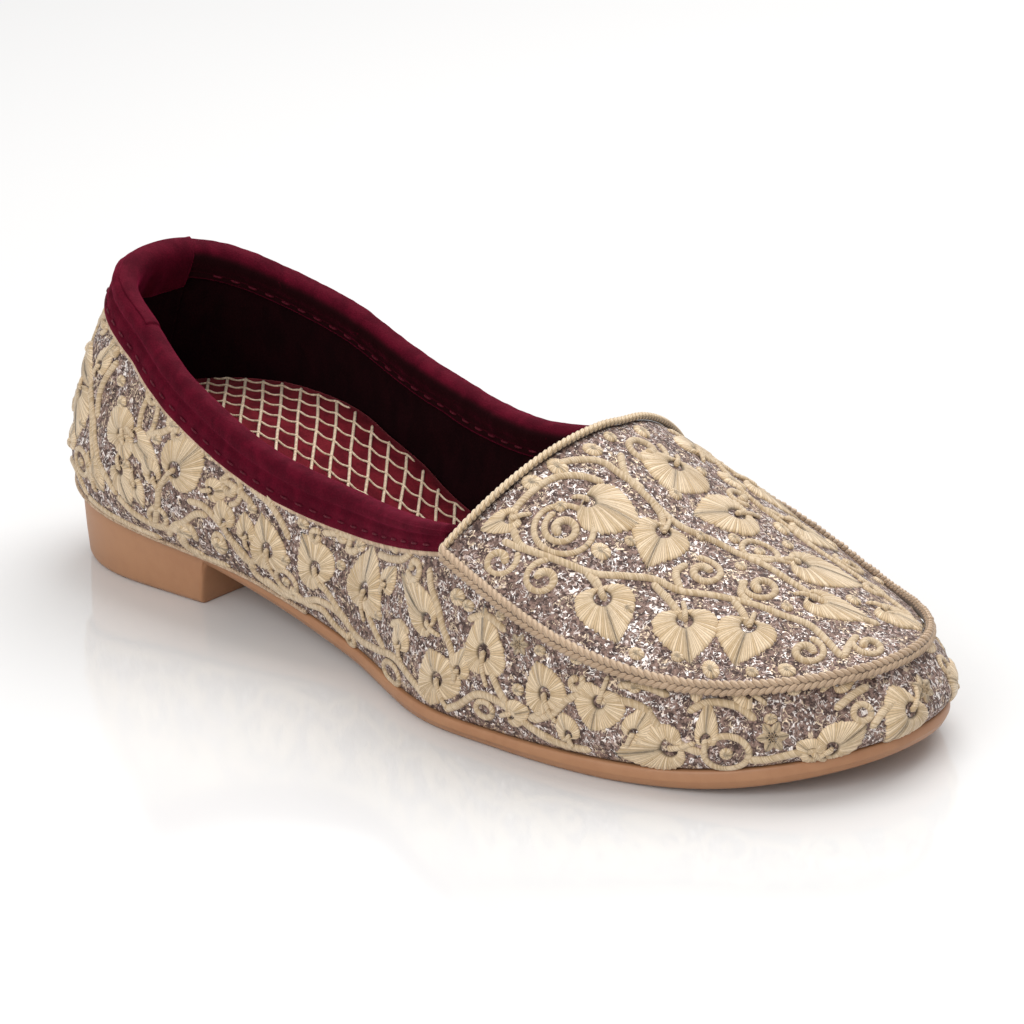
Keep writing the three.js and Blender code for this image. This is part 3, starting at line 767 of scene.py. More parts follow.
THREADS = group_of("thread_lay", {"Thread": "Vector", "Split": "Float"},
                   {"Height": "Float", "Shade": "Float", "Groove": "Float"}, thread_lay)
MOTTLING = group_of("mottling", {"Place": "Vector", "Slow": "Float", "Quick": "Float"},
                    {"Shade": "Float"}, mottling)
NAP = group_of("velvet_nap", {"Place": "Vector"}, {"Shade": "Float", "Height": "Float"}, velvet_nap)


def thread_finish(pale, deep, groove, split, depth, dark=0.72):
    """Satin thread with painted shade. A low tone darkens it towards its painted shade colour, used for
    recesses and a braid's core, and dark is how much of its own colour is left in the painted shade
    between two threads."""
    def make(graph):
        thread, tone = graph.thread()
        lay = graph.group(THREADS, Thread=thread, Split=split)
        patch = graph.group(MOTTLING, Place=graph.millimetres(), Slow=0.11, Quick=0.9)["Shade"]
        shade = graph.add(graph.times(lay["Shade"], 0.75),
                           graph.times(patch, 0.5))
        yarn = graph.blend(graph.ramp(shade, 0.35, 0.85), deep, pale)
        # Painted shade: the colour falls towards the shade colour between threads and where the tone is low.
        lit = graph.times(graph.ramp(lay["Groove"], 0.0, 1.0, dark, 1.0),
                         graph.ramp(tone, 0.0, 0.6, 0.0, 1.0))
        rough = graph.ramp(shade, 0.3, 0.9, 0.62, 0.42)
        return {"Base Color": graph.blend(lit, groove, yarn), "Roughness": rough,
                "Normal": graph.bump(lay["Height"], depth)}
    return make


def glitter_finish(graph):
    """A mauve-brown mesh ground crowded with short bent flecks of silver foil. Flecks are the thin bands
    where a warped noise crosses its middle, broken up by cells that each tilt their own way."""
    place = graph.millimetres()
    warped = graph.noise(place, 1.7, 1.2, warp=1.8)
    band = graph.math("ABSOLUTE", graph.math("SUBTRACT", warped, 0.5))
    worm = graph.ramp(band, 0.085, 0.025)
    cell = graph.node("ShaderNodeTexVoronoi", {"Vector": place, "Scale": 1 / 0.75}, out="Color")
    chance, other = graph.node("ShaderNodeSeparateColor", {0: cell}).node.outputs[:2]
    dense = graph.noise(place, 6.0, 2.0)
    kept = graph.ramp(graph.add(chance, graph.times(dense, 1.3)), 0.92, 1.06)
    fleck = graph.times(worm, kept)
    ground = graph.group(MOTTLING, Place=place, Slow=0.9, Quick=2.6)["Shade"]
    cloth = graph.blend(graph.ramp(ground, 0.4, 0.62), (0.05, 0.026, 0.022), (0.28, 0.18, 0.145))
    stray = graph.ramp(graph.noise(place, 3.5, 2.0), 0.5, 0.6)
    foil = graph.blend(graph.ramp(other, 0.1, 0.7), (0.46, 0.33, 0.29), (0.93, 0.86, 0.82))
    foil = graph.blend(stray, foil, (0.68, 0.53, 0.38))
    lean = graph.vector("SCALE", graph.vector("SUBTRACT", cell, (0.5, 0.5, 0.5)), scale=0.55)
    plain = graph.node("ShaderNodeNewGeometry", {}, out="Normal")
    flat = graph.vector("NORMALIZE", graph.vector("ADD", plain, lean))
    height = graph.add(graph.times(worm, 0.7), graph.times(ground, 0.8))
    return {"Base Color": graph.blend(fleck, cloth, foil),
            "Metallic": graph.times(fleck, 0.3),
            "Roughness": graph.ramp(fleck, 0.0, 1.0, 0.75, 0.36),
            "Normal": graph.bump(height, 0.22, Normal=flat)}


def velvet_finish(pale, deep):
    """Velvet with painted shade: its colour goes to near black where the piece's own tone is low."""
    def make(graph):
        place = graph.millimetres()
        nap = graph.group(NAP, Place=place)
        painted_shade_tone = graph.thread()[1]
        # Lighter specks scattered at random over the pile, a quarter of the way to twice the pale colour.
        pale_specks = graph.ramp(graph.noise(place, 2.2, 4.0, warp=2.0), 0.68, 0.74)
        base = graph.blend(graph.ramp(nap["Shade"], 0.25, 0.85), deep, pale)
        # Painted shade: a low tone blends the colour towards near black, as on the binding's inner flange.
        base = graph.blend(graph.ramp(painted_shade_tone, 0.0, 0.5, 0.94, 0.0), base, (0.008, 0.0005, 0.001))
        speck_colour = graph.vector("SCALE", pale, scale=2.2)
        return {"Base Color": graph.blend(graph.times(pale_specks, 0.25), base, speck_colour),
                "Roughness": graph.ramp(nap["Shade"], 0.2, 0.9, 0.95, 0.8),
                "Normal": graph.bump(nap["Height"], 0.16)}
    return make


def rubber_finish(graph):
    """Moulded tan rubber: a smooth, slowly clouded skin with fine pores and faint scuffs low down."""
    place = graph.millimetres()
    shade = graph.group(MOTTLING, Place=place, Slow=0.045, Quick=0.35)["Shade"]
    pore = graph.noise(place, 0.3)
    low = graph.ramp(graph.parts(place)[2], 4.0, 0.0)
    scuff = graph.times(graph.ramp(graph.noise(place, 1.6, 4.0), 0.58, 0.72), low)
    skin = graph.blend(graph.ramp(shade, 0.35, 0.65), (0.36, 0.17, 0.082), (0.4, 0.2, 0.1))
    base = graph.blend(graph.times(scuff, 0.3), skin, (0.22, 0.12, 0.075))
    rough = graph.add(graph.ramp(shade, 0.3, 0.7, 0.42, 0.5), graph.times(scuff, 0.15))
    return {"Base Color": base, "Roughness": rough, "Normal": graph.bump(pore, 0.03)}


# Each thread material's groove colour is painted shade, for the dark between threads and in recesses.
EMBROIDERY = material("cream_satin_thread", thread_finish(
    pale=(0.79, 0.62, 0.42), deep=(0.52, 0.365, 0.2), groove=(0.085, 0.05, 0.026), split=2.0, depth=0.085,
    dark=0.5),
    Sheen_Weight=0.25, Sheen_Roughness=0.4, Specular_IOR_Level=0.45)
BRAID = material("beige_braid", thread_finish(
    pale=(0.6, 0.44, 0.3), deep=(0.37, 0.255, 0.165), groove=(0.075, 0.045, 0.028), split=1.0, depth=0.08),
    Sheen_Weight=0.2, Sheen_Roughness=0.45, Specular_IOR_Level=0.35)
GLITTER = material("glitter_mesh_cloth", glitter_finish, Specular_IOR_Level=0.5)
VELVET = material("wine_velvet", velvet_finish(pale=(0.096, 0.001, 0.0115), deep=(0.05, 0.0006, 0.0065)),
                  Sheen_Weight=0.45, Sheen_Roughness=0.3, Sheen_Tint=(0.7, 0.025, 0.12, 1),
                  Specular_IOR_Level=0.1)
# The lining's own dark wine velvet, its colour pushed near black as painted shade for the inside of the
# shoe.
LINING = material("dark_velvet_lining_painted_shade",
                  velvet_finish(pale=(0.013, 0.0008, 0.002), deep=(0.006, 0.0004, 0.001)),
                  Sheen_Weight=0.12, Sheen_Roughness=0.35, Sheen_Tint=(0.5, 0.05, 0.1, 1),
                  Specular_IOR_Level=0.1)
FOOTBED = material("footbed_velvet", velvet_finish(pale=(0.17, 0.01, 0.018), deep=(0.075, 0.003, 0.008)),
                   Sheen_Weight=0.35, Sheen_Roughness=0.35, Sheen_Tint=(0.8, 0.2, 0.22, 1),
                   Specular_IOR_Level=0.1)
NET = material("cream_net_cord", thread_finish(
    pale=(0.86, 0.68, 0.5), deep=(0.6, 0.44, 0.29), groove=(0.16, 0.08, 0.05), split=1.0, depth=0.06),
    Sheen_Weight=0.2, Sheen_Roughness=0.45, Specular_IOR_Level=0.3)
STITCH_THREAD = material("wine_stitch_thread", thread_finish(
    pale=(0.1, 0.003, 0.014), deep=(0.05, 0.001, 0.006), groove=(0.02, 0.001, 0.003), split=1.0, depth=0.05),
    Sheen_Weight=0.2, Sheen_Roughness=0.4, Sheen_Tint=(0.7, 0.1, 0.16, 1), Specular_IOR_Level=0.2)
RUBBER = material("tan_moulded_rubber", rubber_finish, Specular_IOR_Level=0.45)


# ---- Embroidery: where each motif lies ----
# Leaves: place of the eye on the skin, turn of the tip in degrees, then lengths from the eye to the tip,
# from the eye back to the base, and across, and how pointed the tip is.
APRON_LEAVES = [
    (40, -33, -34, 12, 4, 13, 0.8), (58, -25, -47, 11, 4, 14, 0.8), (70, -17, -68, 11, 3, 13, 0.8),
    (23, -18, 19, 12, 2, 14, 0.6), (39, -10, -67, 11, 3, 13, 0.8), (26, 9, -52, 10, 4, 17, 0.5),
    (42, 12, -108, 12, 5, 14, 0.8), (62, 10, 44, 15, 3, 15, 0.6), (74, 1, 25, 13, 3, 10, 0.7),
    (11, -33, -127, 7, 3, 6, 0.5), (30, 34, 34, 12, 4, 12, 0.8), (47, 29, 47, 11, 4, 12, 0.8),
    (20, 24, 152, 9, 3, 11, 0.7), (84, 14, 20, 10, 3, 10, 0.7),
]
WALL_LEAVES = [
    (120, 15, 135, 9, 5, 13, 0.8), (139, 17, 88, 11, 6, 15, 0.7), (167, 20, 151, 14, 3, 10, 0.7),
    (186, 18, 96, 10, 6, 12, 0.9), (204, 13, 115, 7, 5, 11, 0.4), (171, 8, 119, 7, 6, 15, 0.6),
    (104, 13, 109, 9, 6, 12, 0.8), (90, 15, 115, 6, 2, 6, 0.3), (157, 11, 98, 6, 2, 7, 0.4),
    (72, 24, 50, 12, 4, 13, 0.4), (52, 27, 139, 7, 2, 11, 0.3), (53, 26, -68, 5, 2, 7, 0.3),
    (56, 28, -23, 12, 2, 7, 0.7), (43, 14, -40, 7, 2, 9, 0.6), (54, 18, -62, 9, 2, 9, 0.6),
    (60, 16, -61, 6, 2, 5, 0.5), (28, 29, -71, 12, 2, 13, 0.7), (20, 36, -14, 14, 2, 8, 0.8),
    (218, 14, -105, 7, 4, 12, 0.5), (210, 5, 110, 5, 2, 6, 0.3), (234, 6, -169, 13, 4, 10, 0.7),
    (242, 8, 85, 8, 2, 5, 0.7), (264, 3, 140, 4, 3, 6, 0.4), (268, 3, 24, 9, 3, 9, 0.6),
    (288, 7, -138, 9, 4, 13, 0.5), (10, 46, -100, 10, 4, 11, 0.8), (8, 22, -80, 11, 4, 12, 0.8),
    (102, 29, 120, 7, 3, 8, 0.6), (14, 10, -35, 8, 3, 8, 0.6), (97, 14, 100, 6, 2, 6, 0.5),
    (66, 20, 132, 9, 2, 6, 0.8), (45, 11, 95, 6, 2, 6, 0.5), (34, 38, 70, 8, 2, 6, 0.8),
    (84, 22, 20, 6, 2, 6, 0.6), (148, 22, 60, 6, 2, 6, 0.6), (178, 12, 70, 6, 2, 6, 0.6),
    (194, 6, 20, 6, 2, 6, 0.5), (226, 8, 60, 7, 2, 7, 0.6), (252, 18, 150, 6, 2, 6, 0.6),
    (272, 17, 20, 6, 2, 6, 0.6), (28, 14, 60, 7, 2, 6, 0.7), (1, 12, 88, 7, 2, 7, 0.7),
]
# Curls: place, radius, bearing of the open end, turns, and the hand of the spiral.
APRON_CURLS = [
    (23, -27, 4.8, 150, 1.4, 1), (14, -42, 4.4, 60, 1.2, -1), (26, -39, 4.8, 110, 1.3, 1),
    (19, 6, 6.2, 100, 1.4, -1), (52, -11, 4.7, 150, 1.3, -1), (64, -5, 4.6, 200, 1.3, 1),
    (84, -14, 4.4, 120, 1.3, -1), (92, -2, 4, 200, 1.2, 1), (12, 38, 4.6, 0, 1.3, 1),
    (62, 30, 4.4, 180, 1.3, 1), (36, 20, 3.4, 0, 1.2, -1), (74, 22, 4, 180, 1.2, -1),
]
WALL_CURLS = [
    (90, 25, 4.4, -90, 1.4, 1), (37, 44, 3, 0, 1.2, 1), (127, 26, 3, -60, 1.2, 1),
    (132, 1.8, 2.2, 90, 1.1, -1), (160, 30, 3.2, 200, 1.1, 1), (22, 22, 3, 180, 1.2, -1),
    (26, 47, 3, -90, 1.3, 1), (70, 33, 2.4, 60, 1.1, -1), (118, 22, 2, 40, 1.1, 1),
    (12, 12, 2.6, 30, 1.2, -1), (150, 32, 2.2, 100, 1.1, 1), (212, 17, 2, 60, 1.1, -1),
]
# Rings: place, half width along and across, and turn.
APRON_RINGS = [(54, 6, 4, 4, 0), (23, -27, 6.6, 6.2, 0), (88, 14, 3, 3, 0)]
WALL_RINGS = [
    (110, 7, 3.4, 2.8, 0), (152, 2.4, 4, 2.4, 0), (59, 34, 2.6, 6, 0), (246, 4.8, 4.8, 3.6, 0),
    (37, 12, 4, 3, 0), (68, 9, 3, 2.4, 30), (6, 40, 2.6, 4, 0), (58, 40, 2, 2.4, 0), (88, 8.5, 1.8, 2.4, 0),
    (160, 25, 2.6, 1.8, 60), (186, 5, 2.4, 1.8, 0), (276, 10, 2, 1.8, 0),
]
# Padded dots: place, half width along and across, and turn.
APRON_DOTS = [
    (10, -23, 2.6, 2, 20), (12, -16, 2.9, 2, 0), (14, -6, 2.5, 1.9, 30), (33, -25, 2.5, 2, 0),
    (54, -38, 1.9, 1.6, 0), (70, -31, 2.6, 1.8, -30), (84, -21, 2.2, 1.7, 0), (30, 25, 4, 2.6, 40),
    (19, -23, 1.6, 1.6, 0), (46, -31, 1.6, 1.6, 0), (54, 6, 1.4, 1.4, 0), (48, 21, 2.4, 1.8, 0),
    (78, 10, 2, 1.6, 0), (50, 38, 2, 1.6, 0), (33, 1, 1.8, 1.5, 0), (48, 4, 1.6, 1.3, 0),
    (72, -6, 1.5, 1.2, 0), (13, 12, 2.4, 1.8, 0), (13, 1, 1.8, 1.5, 0), (44, -3, 1.5, 1.2, 0),
    (28, 16, 1.6, 1.3, 0), (56, -3, 1.6, 1.2, 0), (62, -33, 1.6, 1.3, 0), (78, -26, 1.6, 1.2, 0),
    (36, -18, 1.5, 1.2, 0), (54, 16, 1.6, 1.3, 0), (66, 36, 1.6, 1.3, 0), (22, 40, 1.8, 1.4, 0),
]
WALL_DOTS = [
    (176, 28, 2.4, 2, 0), (68, 35, 2.8, 2.2, 0), (76, 8, 3.6, 2.2, 0), (88, 8, 2.8, 2, 0),
    (256, 12, 1.5, 1.2, 0), (196, 12, 1.8, 1.4, 0), (110, 7, 1.4, 1.1, 0), (246, 4.8, 1.5, 1.3, 0),
    (134, 26, 2, 1.5, 30), (48, 34, 2, 1.6, 0), (30, 19, 1.8, 1.5, 0), (226, 18, 1.6, 1.3, 0),
    (82, 31, 2, 1.5, 0), (114, 24, 1.8, 1.4, 0), (16, 30, 1.8, 1.5, 0), (37, 12, 1.4, 1.1, 0),
    (98, 22, 1.6, 1.3, 0), (150, 24, 2.2, 1.6, 60), (64, 30, 1.7, 1.5, 0), (88, 8.5, 1, 1, 0),
    (34, 22, 1.8, 1.4, 0), (110, 13, 1.6, 1.3, 0), (128, 19, 1.6, 1.2, 0), (146, 14, 1.6, 1.2, 0),
    (180, 27, 1.8, 1.4, 0), (190, 27, 1.4, 1.2, 0), (202, 22, 1.6, 1.2, 0), (212, 22, 1.8, 1.3, 0),
    (230, 22, 1.6, 1.2, 0), (240, 20, 1.8, 1.4, 0), (262, 17, 1.6, 1.2, 0), (282, 17, 1.6, 1.3, 0),
    (44, 38, 1.8, 1.4, 0), (22, 38, 1.8, 1.4, 0), (90, 31, 1.4, 1.2, 0), (56, 20, 1.4, 1.2, 0),
]
STARS = [(256, 8, 3.4, 0), (294, 10, 3.2, 20), (196, 22, 2.6, 10)]   # place, radius, turn
APRON_VINES = [
    [(12, -38), (16, -37), (22, -35), (28, -33), (35, -30), (41, -25), (46, -21), (52, -19), (58, -15),
     (66, -11), (73, -9), (80, -7), (91, -10)],
    [(22, -35), (16, -36), (11, -32), (11, -26), (13, -19), (17, -14), (22, -11)],
    [(33, -31), (37, -31.5), (41, -33)], [(46, -22), (52, -23), (58, -25)],
    [(62, -13), (66, -14.5), (70, -17)],
    [(18, -1), (23, -5), (28, -6), (33, -6), (40, -5), (47, -1), (53, 1), (60, 2), (69, 2), (79, 3),
     (88, 7)],
    [(11, -16), (14, -11), (18, -7), (24, -6), (29, -5)], [(32, -6), (36, -7), (39, -10)],
    [(52, -19), (48, -16), (48, -12)], [(66, -11), (62, -10), (60, -6)], [(91, -10), (89, -5), (88, -1)],
    [(10, 25), (12, 28), (18, 31), (27, 27), (36, 23.5), (48, 24), (60, 24), (72, 24), (84, 21), (92, 15)],
    [(18, 31), (24, 34), (30, 34)], [(40, 24), (44, 27), (47, 29)], [(53, 1), (57, 5), (62, 10)],
    [(14, 30), (14, 34), (16, 38)],
]
WALL_VINES = [
    [(102, 4), (108, 3), (115, 4), (121, 7), (128, 7), (136, 4), (144, 5), (154, 7), (161, 5), (168, 2)],
    [(173, 1.5), (178, 4), (184, 8), (190, 8), (196, 6), (200, 4), (206, 2.4)],
    [(199, 6), (202, 8), (204, 12)], [(200, 6), (206, 9), (210, 13), (216, 16)],
    [(120, 14), (124, 11), (128, 8), (132, 6)], [(139, 16), (141, 12), (145, 9), (149, 7)],
    [(187, 17), (189, 13), (191, 10), (193, 8)],
    [(166, 32), (166, 31), (167, 28), (170, 24), (172, 20), (175, 16), (176, 12), (176, 7)],
    [(77, 17), (82, 17), (87, 15), (91, 12), (95, 8), (100, 6)], [(104, 12), (101, 9), (98, 7)],
    [(67, 6), (68, 13), (68, 18), (71, 23)],
    [(33, 31), (38, 26), (42, 21), (46, 16), (50, 13), (54, 10)], [(40, 42), (38, 36), (38, 31), (40, 26)],
    [(71, 4), (73, 8), (76, 10), (80, 14), (84, 15)],
    [(54, 10), (60, 7), (67, 6), (75, 7), (77, 3), (82, 2)],
    [(218, 14), (222, 15), (228, 14), (232, 10), (236, 7), (241, 5)],
    [(250, 3), (254, 2.5), (258, 3), (262, 3.4), (267, 3)], [(200, 4), (204, 2.6), (209, 2), (215, 2.2)],
    [(277, 6), (281, 9), (285, 10), (288, 9)], [(90, 20), (92, 17), (90, 14)],
    [(96, 27), (103, 25), (107, 22), (110, 18)], [(71, 4), (73, 8), (76.5, 10), (79.5, 9), (80.5, 6)],
    [(74, 6), (76, 3), (79, 1.6), (84, 1.4), (90, 1.8)], [(90, 12), (97, 8), (100, 3.5), (110, 2)],
    [(26, 32), (32, 33), (36, 28), (39.5, 22), (43, 16), (44, 10)],
    [(40, 3), (48, 2.2), (55, 2), (62, 2), (68, 2.2)],
    [(20, 4), (26, 7), (32, 8), (37, 6), (40, 3)], [(111, 6), (116, 4), (122, 5), (126, 3), (131, 1.6)],
    [(60, 30), (65, 32), (70, 36)], [(86, 26), (92, 25), (98, 23)], [(120, 24), (126, 26), (132, 27)],
    [(142, 27), (148, 28), (154, 30), (158, 33)], [(180, 24), (186, 26), (192, 24)],
    [(222, 18), (228, 18.5), (234, 17)], [(238, 14), (243, 16), (249, 15), (253, 12)],
    [(270, 12), (275, 14), (280, 15)], [(152, 14), (156, 16), (160, 15)],
    [(4, 14), (8, 18), (12, 26), (16, 34), (16, 42), (13, 47), (10, 50)], [(16, 42), (20, 46), (24, 48)],
    [(12, 26), (18, 24), (22, 25)], [(96, 30), (92, 33), (84, 36), (76, 37), (70, 39)],
    [(128, 23), (132, 24), (134, 29)], [(0, 30), (3, 36), (6, 44), (4, 48), (1, 51)],
]
# Motifs that start nearer the heel's middle, or lie further round, already cross the shoe's middle.
MIRROR_START, MIRROR_STOP = 4, 276


def both_sides(rows, turn_column=None):
    """The wall's motifs and their mirror images up the medial side, each moved and turned a little."""
    mirrored = []
    for n, row in enumerate(rows):
        if not MIRROR_START <= row[0] <= MIRROR_STOP:
            continue
        twin = list(row)
        twin[0] = -row[0] + 1.5 * np.sin(2.4 * n)
        twin[1] = row[1] + 0.8 * np.cos(1.7 * n)
        if turn_column is not None:
            twin[turn_column] = 180 - row[turn_column] + 6 * np.sin(1.3 * n)
        mirrored.append(tuple(twin))
    return list(rows) + mirrored


def mirrored_vines(vines):
    """The wall's vines and their mirror images, each moved a little."""
    made = []
    for n, row in enumerate(vines):
        if max(p[0] for p in row) < MIRROR_STOP:
            made.append([(-s + np.sin(2.4 * n), h) for s, h in row])
    return list(vines) + made


def sew(bits, motif, apron_rows, wall_rows):
    """Every row's motif on the apron and then on the wall: a row is two lengths and the motif's sizes."""
    for skin, rows in ((apron_skin, apron_rows), (wall_skin, wall_rows)):
        for row in rows:
            motif(bits, skin, np.array(row[:2], float), *row[2:])


def embroidery_leaves():
    """Leaves, stars and dots, the padded kinds of motif."""
    bits = Bits()
    sew(bits, leaf, APRON_LEAVES, both_sides(WALL_LEAVES, 2))
    sew(bits, star, [], both_sides(STARS))
    sew(bits, button, APRON_DOTS, both_sides(WALL_DOTS))
    bits.build("embroidered_leaves", [EMBROIDERY], replaces=["upper"])


def embroidery_vines():
    """Vines, curls and rings, the corded kinds of motif. A curl on the medial side turns the other way."""
    bits = Bits()
    for skin, rows in ((apron_skin, APRON_VINES), (wall_skin, mirrored_vines(WALL_VINES))):
        for points in rows:
            vine(bits, skin, points)
    wall_curls = [(*row[:5], row[5] if row[0] > 0 else -row[5]) for row in both_sides(WALL_CURLS, 3)]
    sew(bits, curl, APRON_CURLS, wall_curls)
    sew(bits, ring, APRON_RINGS, both_sides(WALL_RINGS))
    bits.build("embroidered_vines", [EMBROIDERY], replaces=["upper"])


# ---- Upper: the side wall and apron, cloth outside and lining inside ----
def wall_normals(x, side, out, t):
    """Normals of the wall's face at stations and t: along the wall crossed with up it."""
    along = np.gradient(wall_grid(x, side, out, t), axis=0)
    up = wall_grid(x, side, out, np.clip(t + 0.02, 0, 1)) - wall_grid(x, side, out, np.clip(t - 0.02, 0, 1))
    return unit(np.cross(along, up))


def wall_height(x, side, out):
    """Length of the straight line from the feather to the wall's top at each station."""
    return np.linalg.norm(wall_top(x, side, out) - feather(x, side), axis=1)


def upper_cloth(rows=34, inner_rows=12):
    """A closed band round the shoe, one wall thick, and the apron's slab on its front half."""
    bits = Bits()
    x, side, out = round_outline(48, 110, 76)
    drop = TOPLINE_DROP * (1 - smooth((x - THROAT_X) / TUCK_LENGTH))
    top = (1 - drop / wall_height(x, side, out))[:, None]
    outer = wall_grid(x, side, out, top * np.linspace(0, 1, rows))
    share = np.linspace(1, 0, inner_rows)
    face = wall_grid(x, side, out, top * share)
    inner = face - grid_normals(wall_grid(x, side, out, top * share[::-1]), True)[:, ::-1] * WALL
    outer[:, 0, 2] += GAP
    inner[:, -1, 2] = outer[:, 0, 2]
    points = np.concatenate([outer, inner], 1)
    total = rows + inner_rows
    kind = np.where(np.arange(total) < rows, 0, 1)
    bits.add(points, [quads(len(x), total, wrap_n=True, wrap_m=True)], kind=np.tile(kind, len(x)))
    add_apron(bits)
    bits.build("upper_cloth", [GLITTER, LINING], replaces=["upper"])


def add_apron(bits, rows=100, columns=81, lateral_lip=1.05, medial_lip=0.35, tip_cut=0.4):
    """Rows across the apron from the throat's curve to its tip, crowded at the tip by the power 1.7, and
    the same rows one wall thickness under them. Its two edges run on under the braid by a lip."""
    s = 1 - (1 - np.linspace(0, 1, rows)) ** 1.7
    u = np.sin(np.linspace(-np.pi / 2, np.pi / 2, columns))
    x = mix(throat_line(u)[None], LENGTH - SEAM_TIP - tip_cut, s[:, None])
    upper = apron_face(x, np.broadcast_to(u, x.shape))
    normal = grid_normals(upper, False)
    lip = np.where(u < 0, -lateral_lip, medial_lip)
    upper[..., 1] += lip * np.abs(u) ** 8 * cap_share(foot_x(x))
    under = upper - normal * WALL
    points = np.concatenate([upper, under[:, ::-1]], 1)
    faces = [quads(rows, 2 * columns, wrap_m=True)]
    k = np.arange(columns - 1)
    front = np.stack([k, k + 1, 2 * columns - 2 - k, 2 * columns - 1 - k], -1)
    faces += [front, front[:, ::-1] + (rows - 1) * 2 * columns]
    kind = np.concatenate([np.tile(np.where(np.arange(2 * columns) < columns, 0, 1), rows - 1),
                           np.zeros(2 * columns - 2, int)])
    bits.add(points, [np.concatenate(faces)], kind=kind)


# ---- Cords ----
SEAM_CORD = Table("x lateral medial up down", (150.5, 1.6, 1.0, 0.45, -0.3), (200, 1.7, 0.9, 0.45, -0.7),
                  (245, 1.7, 1.7, 0.45, 0.45))   # how far the braid's middle lies out of and over the seam
SEAM_CORD_TILT = 0.27   # rise of the braid's face over its run outwards
THROAT_CORD_LIFT = 0.7   # how far the cord's middle lies off the apron's edge
THROAT_CORD_BACK, THROAT_CORD_UP = 0.35, 0.94   # the way its face looks: to the heel, and off the apron


def seam_route(step):
    """Centre and outward direction of the braid over the seam, in even steps from the lateral corner of
    the throat round the toe to the medial corner."""
    x, side, out = round_outline()
    on = x > THROAT_X + 0.7
    x, side, out = x[on], side[on], out[on]
    centre = seam_line(x, side) + out * by_side(SEAM_CORD, side, x)[:, None]
    centre[:, 2] += np.where(side < 0, SEAM_CORD("up", x), SEAM_CORD("down", x))
    return even_route(centre, out + [0, 0, SEAM_CORD_TILT], step)


def strands(bits, centre, run, facing, long, wide, high, tone, columns=10, rows=6):
    """Short strands, one at each centre: spindles whose long axis is run and whose ends are tapered a
    little more than an ellipsoid's, by the sine of the way along to the power 0.8."""
    side = unit(np.cross(facing, run))
    out = unit(np.cross(run, side))
    n = len(centre)
    v = np.linspace(0, np.pi, rows + 2)[1:-1]
    angle = np.arange(columns) / columns * 2 * np.pi
    along = -np.cos(v) * long / 2
    size = np.sin(v) ** 0.8
    rings = (side[:, None, None] * (size[:, None] * np.cos(angle))[None, ..., None] * wide / 2
             + out[:, None, None] * (size[:, None] * np.sin(angle))[None, ..., None] * high / 2
             + run[:, None, None] * along[None, :, None, None] + centre[:, None, None])
    ends = np.stack([centre - run * long / 2, centre + run * long / 2], 1)
    points = np.concatenate([rings.reshape(n, -1, 3), ends], 1)
    last = rows * columns
    one = [quads(rows, columns, wrap_m=True)[:, ::-1], fan(0, columns, last, flip=True),
           fan(last - columns, columns, last + 1)]
    shift = (np.arange(n) * (last + 2))[:, None, None]
    faces = [(f[None] + shift).reshape(-1, f.shape[1]) for f in one]
    across = np.concatenate([np.tile(angle / np.pi * 2.5, rows), [0, 0]])
    down = np.concatenate([np.repeat(along, columns), [-long / 2, long / 2]])
    bits.add(points, faces, np.stack(np.broadcast_arrays(across, down, tone), -1))


def shadow_painted_core(bits, route, wide, high):
    """A cord under a braid's strands, painted dark with a low tone as the shadow between them."""
    centre, out = route(0.8)
    # Painted shadow: tone 0.15 turns the core almost wholly to the thread's shade colour.
    tube(bits, centre, out, wide, high, flat=1.0, tone=0.15, taper=0.5, zigzag=0.0)


def seam_braid(pitch=1.55, lean=33, offset=0.74):
    """A flat plait over the seam: two rows of slanted strands leaning into each other, half a step apart,
    over a core painted dark as the shadow between them. lean is in degrees from the run, and offset how
    far a row lies from the middle."""
    bits = Bits()
    centre, out = seam_route(pitch / 2)
    run, across = frame_along(centre, out)
    rng = np.random.default_rng(3)
    turn = np.radians(lean)
    for row, sign in ((0, 1), (1, -1)):
        at = slice(row, None, 2)
        c, t, a, o = centre[at], run[at], across[at], out[at]
        wobble = rng.normal(0, 0.05, (len(c), 1))
        slanted = unit(t * np.cos(turn) - a * np.sin(turn) * sign + o * 0.12)
        tone = rng.uniform(0.5, 0.8, (len(c), 1))
        strands(bits, c + a * (offset * sign + wobble) + o * (0.3 + wobble), slanted, o,
                long=2.8, wide=1.35, high=1.9, tone=tone)
    shadow_painted_core(bits, seam_route, 2.6, 0.936)
    bits.build("seam_braid", [BRAID], replaces=["apron_cord"])


def throat_route(step):
    """Centre and outward direction of the cord over the apron's rear edge, nearly from corner to corner."""
    u = np.sin(np.linspace(-np.pi / 2, np.pi / 2, 161)) * 0.997
    x = throat_line(u)
    ahead = apron_face(x + 0.4, u) - apron_face(x - 0.4, u)
    wide = apron_face(x, np.clip(u + 0.02, -1, 1)) - apron_face(x, np.clip(u - 0.02, -1, 1))
    away = unit(unit(np.cross(ahead, wide)) * THROAT_CORD_UP - [THROAT_CORD_BACK, 0, 0])
    return even_route(apron_face(x, u) + away * THROAT_CORD_LIFT, away, step)


